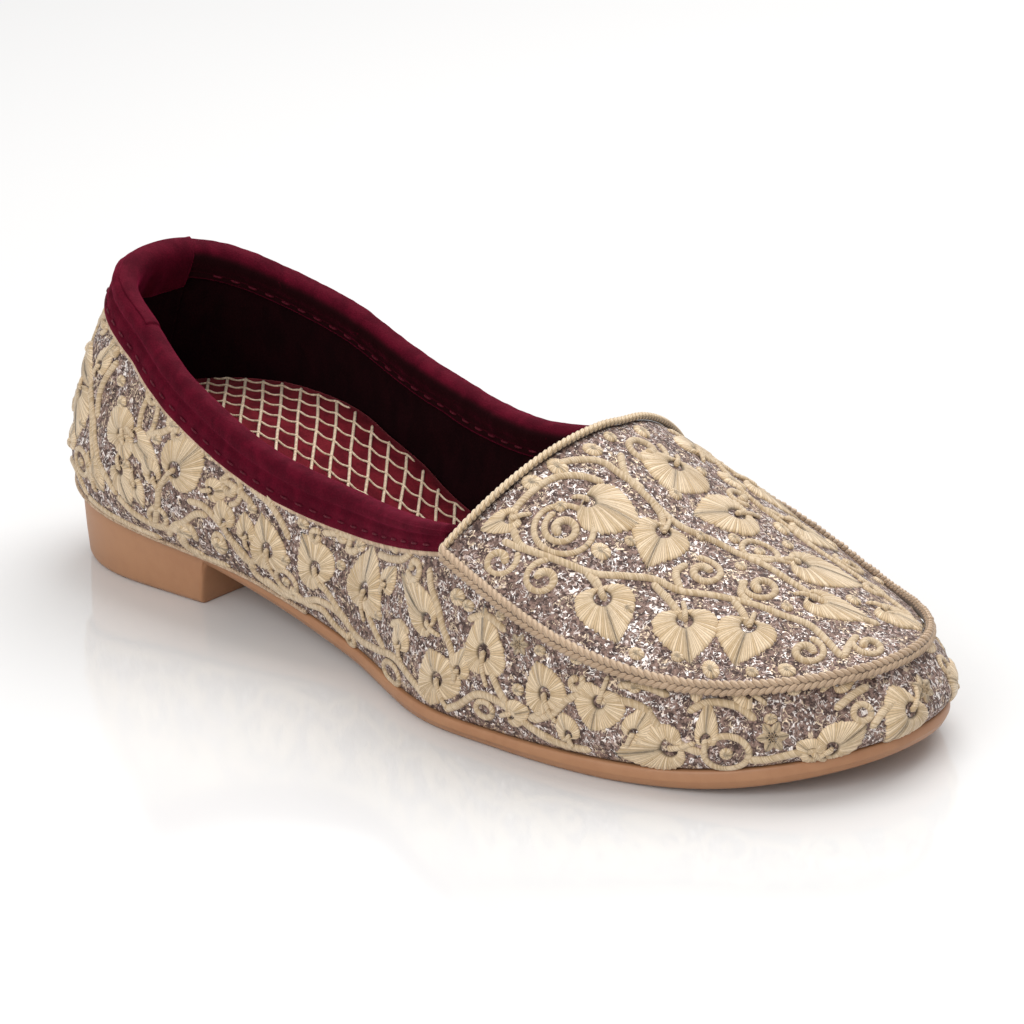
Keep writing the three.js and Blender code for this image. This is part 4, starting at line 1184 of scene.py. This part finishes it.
def throat_cord(pitch=1.4, lean=34):
    """One row of slanted strands, half a turn of a two-ply cord each, over a core painted dark as shadow."""
    bits = Bits()
    centre, out = throat_route(pitch)
    run, across = frame_along(centre, out)
    turn = np.radians(lean)
    slanted = unit(run * np.cos(turn) + across * np.sin(turn))
    tone = np.random.default_rng(9).uniform(0.5, 0.9, (len(centre), 1))
    strands(bits, centre + out * 0.25, slanted, out, long=2.9, wide=1.45, high=1.8, tone=tone)
    shadow_painted_core(bits, throat_route, 1.7, 0.65)
    bits.build("throat_twist", [EMBROIDERY], replaces=["throat_cord"])


def twisted(bits, centre, out, radius, pitch, plies=2):
    """A laid cord: each ply's middle goes round the path as a helix of 0.48 of the cord's radius."""
    across = frame_along(centre, out)[1]
    length = path_length(centre)
    for k in range(plies):
        angle = length / pitch * 2 * np.pi + 2 * np.pi * k / plies
        away = across * np.cos(angle)[:, None] + out * np.sin(angle)[:, None]
        tube(bits, centre + away * radius * 0.48, away, radius * 1.12, radius * 0.56, sides=6,
             flat=1.0, taper=radius * 0.4, zigzag=0.0, tone=0.6, pitch=0.4, slant=-0.9)


EDGING_REACH = 116   # how far the edging goes round from the heel's middle on each side


def edge_trims():
    """Thin twisted edging along the sole's line from the heel's middle to the waist on both sides, one
    millimetre up the wall, and a ragged overcast edge under the binding all round the collar."""
    bits = Bits()
    for hand in (-1, 1):
        s = np.arange(0.4, EDGING_REACH, 0.34) * hand
        flat = np.stack([s, np.ones_like(s)], -1)[::hand]
        twisted(bits, wall_skin.at(flat, 0.3), wall_skin.normal(flat), 0.62, 1.9)
    x, side, out = collar_outline()
    t = (1 - (FLANGE("depth", x) + 0.6) / wall_height(x, side, out))[:, None]
    path, away = even_route(wall_grid(x, side, out, t)[:, 0], wall_normals(x, side, out, t)[:, 0], 0.42)
    ragged = 1.9 + np.random.default_rng(11).uniform(-0.5, 0.5, len(path))
    tube(bits, path, away, ragged, 0.62, tone=0.9, pitch=0.84, slant=0.35, zigzag=0.16)
    bits.build("edge_trims", [BRAID], replaces=["upper"])


# ---- Collar ----
# Section of the binding: out from the wall's face, and down from the topline as a length plus a share
# of the flange's height. It goes up the outside, over the roll, down the inside and up round the slot.
BINDING = np.array([
    (0.4, 0, 1), (0.95, 0.25, 1), (1.35, 0, 0.96), (1.5, 0, 0.88), (1.3, 0, 0.8), (1.55, 0, 0.72),
    (1.6, 0, 0.6), (1.2, 0, 0.48), (1.95, 0, 0.37), (2.3, 0, 0.22), (2.1, 0.9, 0.04), (1.4, 0.35, 0),
    (0.3, -0.1, 0), (-1.1, -0.3, 0), (-2.4, 0.1, 0), (-3.35, 1, 0), (-3.8, 0.6, 0.16), (-3.85, 0, 0.4),
    (-3.55, 0, 0.58), (-3.5, 0, 0.7), (-3.25, 0, 0.79), (-3.45, 0, 0.88), (-3.2, 0, 0.97),
    (-2.7, 0.2, 1), (-2.35, 0, 0.95), (-2.35, 2.2, 0.2), (-2.3, 2.05, 0), (0.25, 2.05, 0), (0.4, 2.4, 0.1),
])
SWELLS, PUCKERS = (31, 17, 9.5, 5.3), (6.1, 3.7, 2.6)   # wavelengths of the roll's slow and quick waves
MEDIAL_TUCK, LATERAL_TUCK, TUCK_START, TUCK_RUN = 0.55, 0.2, 8, 7   # how the outer flange ends at the throat
TAB_MEDIAL, TAB_LATERAL, TAB_DOWN = 2.4, 25, 12.5   # stations of the heel tab's two edges, and its depth
# Sections of the tab and of the grip: out from the wall's face, and down from the topline.
TAB = np.array([
    (1.5, 0.2), (0.4, -0.45), (-1.1, -0.7), (-2.6, -0.3), (-3.8, 0.8), (-4.4, 2.6), (-4.5, 5), (-4.3, 8),
    (-3.9, 10.4), (-3.6, TAB_DOWN - 0.5), (-3.1, TAB_DOWN), (-2.5, TAB_DOWN - 0.3), (-2.4, 9), (-3, 6),
    (-3.2, 2.6), (-2, 0.8), (0, 0.4)])
GRIP = np.array([(-2.6, 8), (-2.85, 12), (-2.9, 20), (-2.9, 30), (-2.7, 39), (-2.2, 38.8), (-2.15, 30),
                 (-2.15, 20), (-2.15, 12)])


def collar_outline():
    """Stations of the collar in order: back down the medial side, round the heel, up the lateral side, and
    short of the throat's corners by a little."""
    x, side, out = round_outline(70, 130, 12)
    half = len(x) // 2
    x, side, out = np.roll(x, half), np.roll(side, half), np.roll(out, half, axis=0)
    on = x < THROAT_X - 0.4
    return x[on], side[on], out[on]


def heel_outline(lateral):
    """The stretch of the collar behind the heel, from TAB_MEDIAL to a station on the lateral side."""
    x, side, out = collar_outline()
    on = x < np.where(side > 0, TAB_MEDIAL, lateral)
    return x[on], side[on], out[on]


def topline_length(x, side, out):
    """Length along the wall's top at each station."""
    return path_length(wall_grid(x, side, out, np.ones((len(x), 1)))[:, 0])


def collar_places(x, side, out, away, down):
    """Points that stand away from the wall's face at lengths down from the topline, or over it where
    down is negative. away and down are (stations, section)."""
    t = 1 - np.clip(down, 0, None) / wall_height(x, side, out)[:, None]
    one = np.ones((len(x), 1))
    rise = unit(wall_grid(x, side, out, one) - wall_grid(x, side, out, 0.94 * one))
    normal = wall_normals(x, side, out, np.minimum(t, 0.97))
    return (wall_grid(x, side, out, t) + rise * np.clip(-down, 0, None)[..., None]
            + normal * away[..., None])


def waves(length, sizes, seed):
    """A slow random wobble along a length: sines of a few wavelengths with random phases."""
    rng = np.random.default_rng(seed)
    return sum(np.sin(length / size * 2 * np.pi + rng.uniform(0, 6.28)) for size in sizes) / len(sizes)


def capped_sweep(bits, points, flat, thread=None):
    """A grid of closed sections along an open path, with both ends filled. flat is the section's own
    outline, in order, used to cut the ends into triangles."""
    n, m = points.shape[:2]
    faces = [quads(n, m, wrap_m=True)]
    cuts = np.array(tessellate_polygon([[Vector((a, b, 0)) for a, b in flat]]))
    one, two, three = (flat[cuts[:, k]] for k in range(3))
    turn = np.sign(np.cross(two - one, three - one))
    cuts = np.where(turn[:, None] > 0, cuts, cuts[:, ::-1])
    area = np.sum(flat[:, 0] * np.roll(flat[:, 1], -1) - np.roll(flat[:, 0], -1) * flat[:, 1])
    first, last = (cuts[:, ::-1], cuts) if area < 0 else (cuts, cuts[:, ::-1])
    faces += [first, last + (n - 1) * m]
    bits.add(points, faces, thread)


def collar_binding():
    """The velvet binding: a padded roll over the topline with a flat stitched flange down each face. The
    roll swells and sinks a little along the way, and the outer flange is tucked in at the two corners
    of the throat. Its inner face carries painted shade: a low tone darkens it."""
    bits = Bits()
    x, side, out = collar_outline()
    section = closed_curve(BINDING, 3)
    down = section[:, 1] + section[:, 2] * FLANGE("depth", x)[:, None]
    length = topline_length(x, side, out)
    wobble, ripple = waves(length, SWELLS, 4)[:, None], waves(length, PUCKERS, 8)[:, None]
    outside = smooth((section[:, 0] - 0.6) / 0.8) * smooth((0.9 - section[:, 2]) / 0.3)
    inside = smooth((-2.6 - section[:, 0]) / 0.5) * smooth((0.9 - section[:, 2]) / 0.3)
    tuck = np.where(side > 0, MEDIAL_TUCK, LATERAL_TUCK) * smooth((x - THROAT_X + TUCK_START) / TUCK_RUN)
    away = section[:, 0] * np.where(section[:, 0] > 0, 1 - tuck[:, None], 1)
    away = away + (wobble * (0.16 * outside - 0.22 * inside) + ripple * (0.07 * outside - 0.1 * inside))
    down = down - 0.12 * wobble * np.exp(-((section[:, 0] + 1) / 1.6) ** 2)
    points = collar_places(x, side, out, away, down)
    flat = np.stack([section[:, 0], -section[:, 1] - section[:, 2] * FLANGE("depth", 0)], -1)
    # Painted shade: shaded marks the inner flange below the roll, and its low tone makes the velvet darken
    # there.
    shaded = smooth((-1.9 - section[:, 0]) / 1.3) * smooth((section[:, 1] + section[:, 2] * 8 + 0.3) / 2)
    thread = np.tile(np.stack([0 * shaded, 0 * shaded, 0.5 - 0.48 * shaded], -1), (len(x), 1))
    capped_sweep(bits, points, flat, thread)
    binding = bits.build("velvet_binding", [VELVET], replaces=["collar_binding"])


def heel_tab():
    """The wider piece of velvet at the back: from the crown of the roll down the inside, with a thin cut
    edge at each side."""
    bits = Bits()
    x, side, out = heel_outline(TAB_LATERAL)
    section = closed_curve(TAB, 3)
    steps = np.arange(len(x))
    edge_in = smooth(np.minimum(steps, steps[::-1]) / 2.5)[:, None]
    away = section[:, 0] + 0.35 * (1 - edge_in)
    length = topline_length(x, side, out)
    inside = smooth((section[:, 1] - 1) / 4)
    away = away + inside * (0.35 * waves(length, (21, 11, 6.5), 12)[:, None])
    down = section[:, 1] + smooth(section[:, 1] / TAB_DOWN) * 0.7 * waves(length, (26, 14), 5)[:, None]
    points = collar_places(x, side, out, away, down)
    capped_sweep(bits, points, section)
    bits.build("heel_tab", [VELVET], replaces=["collar_binding"])


def heel_grip():
    """A thin velvet patch on the lining behind the heel, from under the tab to the footbed."""
    bits = Bits()
    x, side, out = heel_outline(TAB_LATERAL + 2)
    section = closed_curve(GRIP, 3)
    away, down = (np.tile(column, (len(x), 1)) for column in section.T)
    capped_sweep(bits, collar_places(x, side, out, away, down), section)
    bits.build("heel_grip", [LINING], replaces=["upper"])


STITCH_STEPS, STITCH_EVERY = 6, 9   # length of a stitch and of a stitch with its gap, in half millimetres
TAB_COVERS = 4   # the heel tab hides the inner stitches behind this station


def binding_stitches():
    """Two rows of long stitches, each arched by a sine: on the outer flange's lower part, and inside below
    the roll, where they stop at the heel tab."""
    bits = Bits()
    x, side, out = collar_outline()
    one = np.ones((len(x), 1))
    covered = TAB_COVERS + TOPLINE("lean", np.array(float(TAB_COVERS)))
    arch = 0.16 * np.sin(np.linspace(0, np.pi, STITCH_STEPS))[:, None]
    for away, share, start_x in ((1.42, 0.8, -np.inf), (-3.38, 0.79, covered)):
        path = collar_places(x, side, out, away * one, share * FLANGE("depth", x)[:, None])[:, 0]
        facing = wall_normals(x, side, out, 0.8 * one)[:, 0] * np.sign(away)
        path, facing = even_route(path, facing, 0.5)
        for start in range(2, len(path) - 8, STITCH_EVERY):
            piece, face = (row[start:start + STITCH_STEPS] for row in (path, facing))
            if piece[:, 0].min() >= start_x:
                tube(bits, piece + face * arch, face, 0.55, 0.28, sides=6, taper=0.4, zigzag=0.0,
                     flat=1.0, tone=0.5, pitch=0.3)
    bits.build("binding_stitches", [STITCH_THREAD], replaces=["collar_binding"])


# ---- Footbed ----
CLEARANCE, SHOULDER, SHOULDER_DROP = 1.1, 3.5, 2.6   # from the lining, and the rounding of its top edge
# The side's rows: in from the wall, up, and down from the top, each as the share that footbed_loops uses.
FOOTBED_SIDE = np.array([(1, 1, 0), (0.78, 1, 0.03), (0.55, 1, 0.12), (0.36, 1, 0.25), (0.2, 1, 0.42),
                         (0.08, 1, 0.65), (0, 1, 1), (0, 0.75, 1), (0, 0.5, 1), (0, 0.25, 1), (0, 0, 1)])


def footbed_loops(x, side, out):
    """Loops of the footbed's side from its top down: in from the wall as a share of the shoulder, and up
    as a share of the height under the shoulder plus a share of the shoulder's drop."""
    base = FEATHER("z", x)
    height = FOOTBED_TOP("z", x) - base - GAP
    low = np.minimum(SHOULDER_DROP, height * 0.6)
    inward, share, drop = FOOTBED_SIDE.T
    up = (height - low)[:, None] * share + low[:, None] * (1 - drop)
    t = (GAP + up) / (wall_top(x, side, out)[:, 2] - base)[:, None]
    points = wall_grid(x, side, out, t) - wall_normals(x, side, out, t) * (WALL + CLEARANCE)
    points = points - out[:, None] * (SHOULDER * inward)[:, None]
    points[..., 2] = (base + GAP)[:, None] + np.where(share == 0, 0, up)
    return points


def slab(bits, loops, across, crown=None):
    """A closed slab: loops is (stations, rows, 3) from the top loop to the bottom one, and the top and
    bottom are filled by strips straight across between the two sides. crown raises the top by a
    function of the places (w from -1 to 1, and x) across it."""
    n, m = loops.shape[:2]
    half = n // 2
    lateral, medial = np.arange(half + 1), (n - np.arange(half + 1)) % n
    w = np.linspace(0, 1, across)
    top = mix(loops[lateral, 0][:, None], loops[medial, 0][:, None], w[:, None])
    if crown is not None:
        top[..., 2] += crown(2 * w[None] - 1, top[..., 0])
    bottom = mix(loops[lateral, -1][:, None], loops[medial, -1][:, None], w[:, None])
    bits.add(loops, [quads(n, m, wrap_n=True)[:, ::-1]])
    bits.add(top, [quads(half + 1, across)])
    bits.add(bottom, [quads(half + 1, across)[:, ::-1]])
    return top


def weld(piece, distance=2e-6):
    """Merges the seams between a slab's top, side and bottom, and drops the slivers at its two tips."""
    made = bmesh.new()
    made.from_mesh(piece.data)
    bmesh.ops.remove_doubles(made, verts=made.verts, dist=distance)
    bmesh.ops.dissolve_degenerate(made, edges=made.edges, dist=distance)
    made.to_mesh(piece.data)
    made.free()


def footbed_crown(w, x):
    """A parabola across, with low waves along."""
    return 0.35 * (1 - w**2) + 0.12 * np.sin(x / 9) * (1 - w**2)


def footbed():
    """The padded bed: its side's loops, and a crowned top, whose grid is returned for the net."""
    bits = Bits()
    loops = footbed_loops(*round_outline(40, 90, 60))
    top = slab(bits, loops, 41, crown=footbed_crown)
    bed = bits.build("footbed", [FOOTBED], replaces=["insole"])
    weld(bed)
    return top


THICK_WAY, THIN_WAY = np.radians(-48), np.radians(13)     # bearings of the net's two sets of cords
NET_LONG, NET_WIDE = 5.2, 6.3     # between stout cords along the thin ones, and the other way


def footbed_net(top):
    """The netting over the footbed: stout cords on a slant, and thin cords nearly lengthwise that hop
    over them and sag between them by |sin|."""
    bits = Bits()
    skin = Skin(top, closed=False)
    rows, columns = top.shape[:2]
    reach = path_length(top[:, columns // 2])
    width = np.linalg.norm(top[:, -1] - top[:, 0], axis=1)
    thick_way, thin_way = (np.array([np.cos(way), np.sin(way)]) for way in (THICK_WAY, THIN_WAY))

    def lay(places, wide, high, lift):
        """A cord over the bed along places, as long as they lie on it."""
        along, sideways = places.T
        inside = (along > 1) & (along < reach[-1] - 1)
        i = np.interp(along, reach, np.arange(rows))
        j = (sideways / np.maximum(np.interp(i, np.arange(rows), width), 1) + 0.5) * (columns - 1)
        keep = inside & (j >= 0) & (j <= columns - 1)
        if keep.sum() < 6:
            return
        i, j, lift = i[keep], j[keep], lift[keep, None]
        normal = unit(skin.read(skin.normals, i, j))
        tube(bits, skin.read(skin.points, i, j) + normal * lift, normal, wide, high, sides=6, tone=0.8,
             flat=0.6, zigzag=0.03, taper=0.3, pitch=0.5)

    rng = np.random.default_rng(6)
    s = np.arange(-110, 110, 0.7)
    for k in range(-24, 64):
        wander = 0.12 * np.sin(s / 5 + rng.uniform(0, 6))
        lay(thin_way * (NET_LONG * k) + thick_way * s[:, None] + thin_way * wander[:, None], 0.8, 0.42,
            0.12 + 0 * s)
    s = np.arange(-60, 290, 0.5)
    hop = 0.2 * np.cos(s / NET_LONG * 2 * np.pi)
    for m in range(-24, 40):
        sag = 0.32 * np.abs(np.sin(s / NET_LONG * np.pi)) + rng.uniform(-0.1, 0.1)
        lay(thick_way * (NET_WIDE * m + sag[:, None]) + thin_way * s[:, None], 0.5, 0.34, 0.16 + hop)
    bits.build("footbed_net", [NET], replaces=["insole"])


# ---- Sole ----
SOLE_SIDE = np.array([   # out from the rim, down as a share of the sole's height, and down as a length
    (-1.5, 0, 0), (-0.5, 0, 0.02), (-0.14, 0, 0.2), (0.02, 0, 0.65), (SOLE_BULGE, 0.25, 0.3),
    (SOLE_BULGE, 0.5, 0), (0.07, 0.62, -0.35), (-0.1, 1, -1.8), (-0.35, 1, -1.1), (-0.7, 1, -0.5),
    (-1.2, 1, -0.15), (-2, 1, 0)])


def outsole():
    """Sole and heel in one moulding: SOLE_SIDE carried round the footprint, its foot following the shank,
    the flat tread and the toe spring, and dropping to the floor behind the heel's breast."""
    bits = Bits()
    breast = np.arange(HEEL_BREAST - 1, HEEL_BREAST + BREAST_FILLET + 1.5, 0.25)
    x, side, out = round_outline(50, 110, 76, extra=breast)
    on_heel = 1 - smooth((x - HEEL_BREAST) / BREAST_FILLET)
    base = np.clip(UNDERSIDE("z", x), 0, None) * (1 - on_heel)
    away, share, down = SOLE_SIDE.T
    foot = feather(x, side)
    reach = (SOLE_RIM("out", x)[:, None] + away) - HEEL_TAPER * on_heel[:, None] * share
    loops = foot[:, None] + out[:, None] * reach[..., None]
    loops[..., 2] = mix(foot[:, 2:], base[:, None], share) - down
    slab(bits, loops, 31)
    weld(bits.build("moulded_sole", [RUBBER], replaces=["outsole"]))


upper_cloth()
embroidery_leaves()
embroidery_vines()
seam_braid()
throat_cord()
edge_trims()
collar_binding()
heel_tab()
heel_grip()
binding_stitches()
footbed_net(footbed())
outsole()

# ---- Floor, light and camera ----
STAGE = bpy.context.scene
FLOOR_HALF = 4.0   # metres
CORNERS = ((-1, -1), (1, -1), (1, 1), (-1, 1))


def floor_finish(graph):
    """A gloss that varies slowly."""
    return {"Roughness": graph.ramp(graph.noise(graph.millimetres(), 400.0), 0.3, 0.7, 0.05, 0.1)}


floor_mesh = bpy.data.meshes.new("floor")
floor_mesh.from_pydata([(a * FLOOR_HALF, b * FLOOR_HALF, 0) for a, b in CORNERS], [], [(0, 1, 2, 3)])
floor_mesh.materials.append(material("white_gloss_floor", floor_finish,
                                     Base_Color=(0.74, 0.738, 0.735, 1), Specular_IOR_Level=0.85))
floor = bpy.data.objects.new("floor", floor_mesh)
STAGE.collection.objects.link(floor)

STAGE.world = bpy.data.worlds.new("studio")
STAGE.world.use_nodes = True
sky = STAGE.world.node_tree.nodes["Background"].inputs
sky["Color"].default_value = (1.0, 0.99, 0.985, 1)
sky["Strength"].default_value = 0.64
STAGE.view_settings.view_transform = "Standard"


def aimed(name, data, place, aim, roll=0.0):
    """A light or camera at a place in shoe millimetres, facing another and rolled by degrees."""
    made = bpy.data.objects.new(name, data)
    made.location = to_frame(np.array(place, float))
    back = Vector(to_frame(np.array(place)) - to_frame(np.array(aim))).normalized()
    turn = back.to_track_quat("Z", "Y").to_matrix() @ Matrix.Rotation(np.radians(roll), 3, "Z")
    made.rotation_euler = turn.to_euler()
    STAGE.collection.objects.link(made)
    return made


# Softboxes: place, width in metres, and watts.
for name, place, width, power in (("key", (60, 560, 1050), 1.1, 14.5), ("fill", (350, -950, 650), 0.8, 6.3)):
    light = bpy.data.lights.new(name, "AREA")
    light.energy, light.size = power, width
    aimed(name, light, place, (130, 0, 30))

lens = bpy.data.cameras.new("camera")
lens.sensor_width, lens.lens = 36, 137
STAGE.camera = aimed("camera", lens, (686.8, -614.7, 343.2), (131.7, 0, 32.5), roll=-1.9)
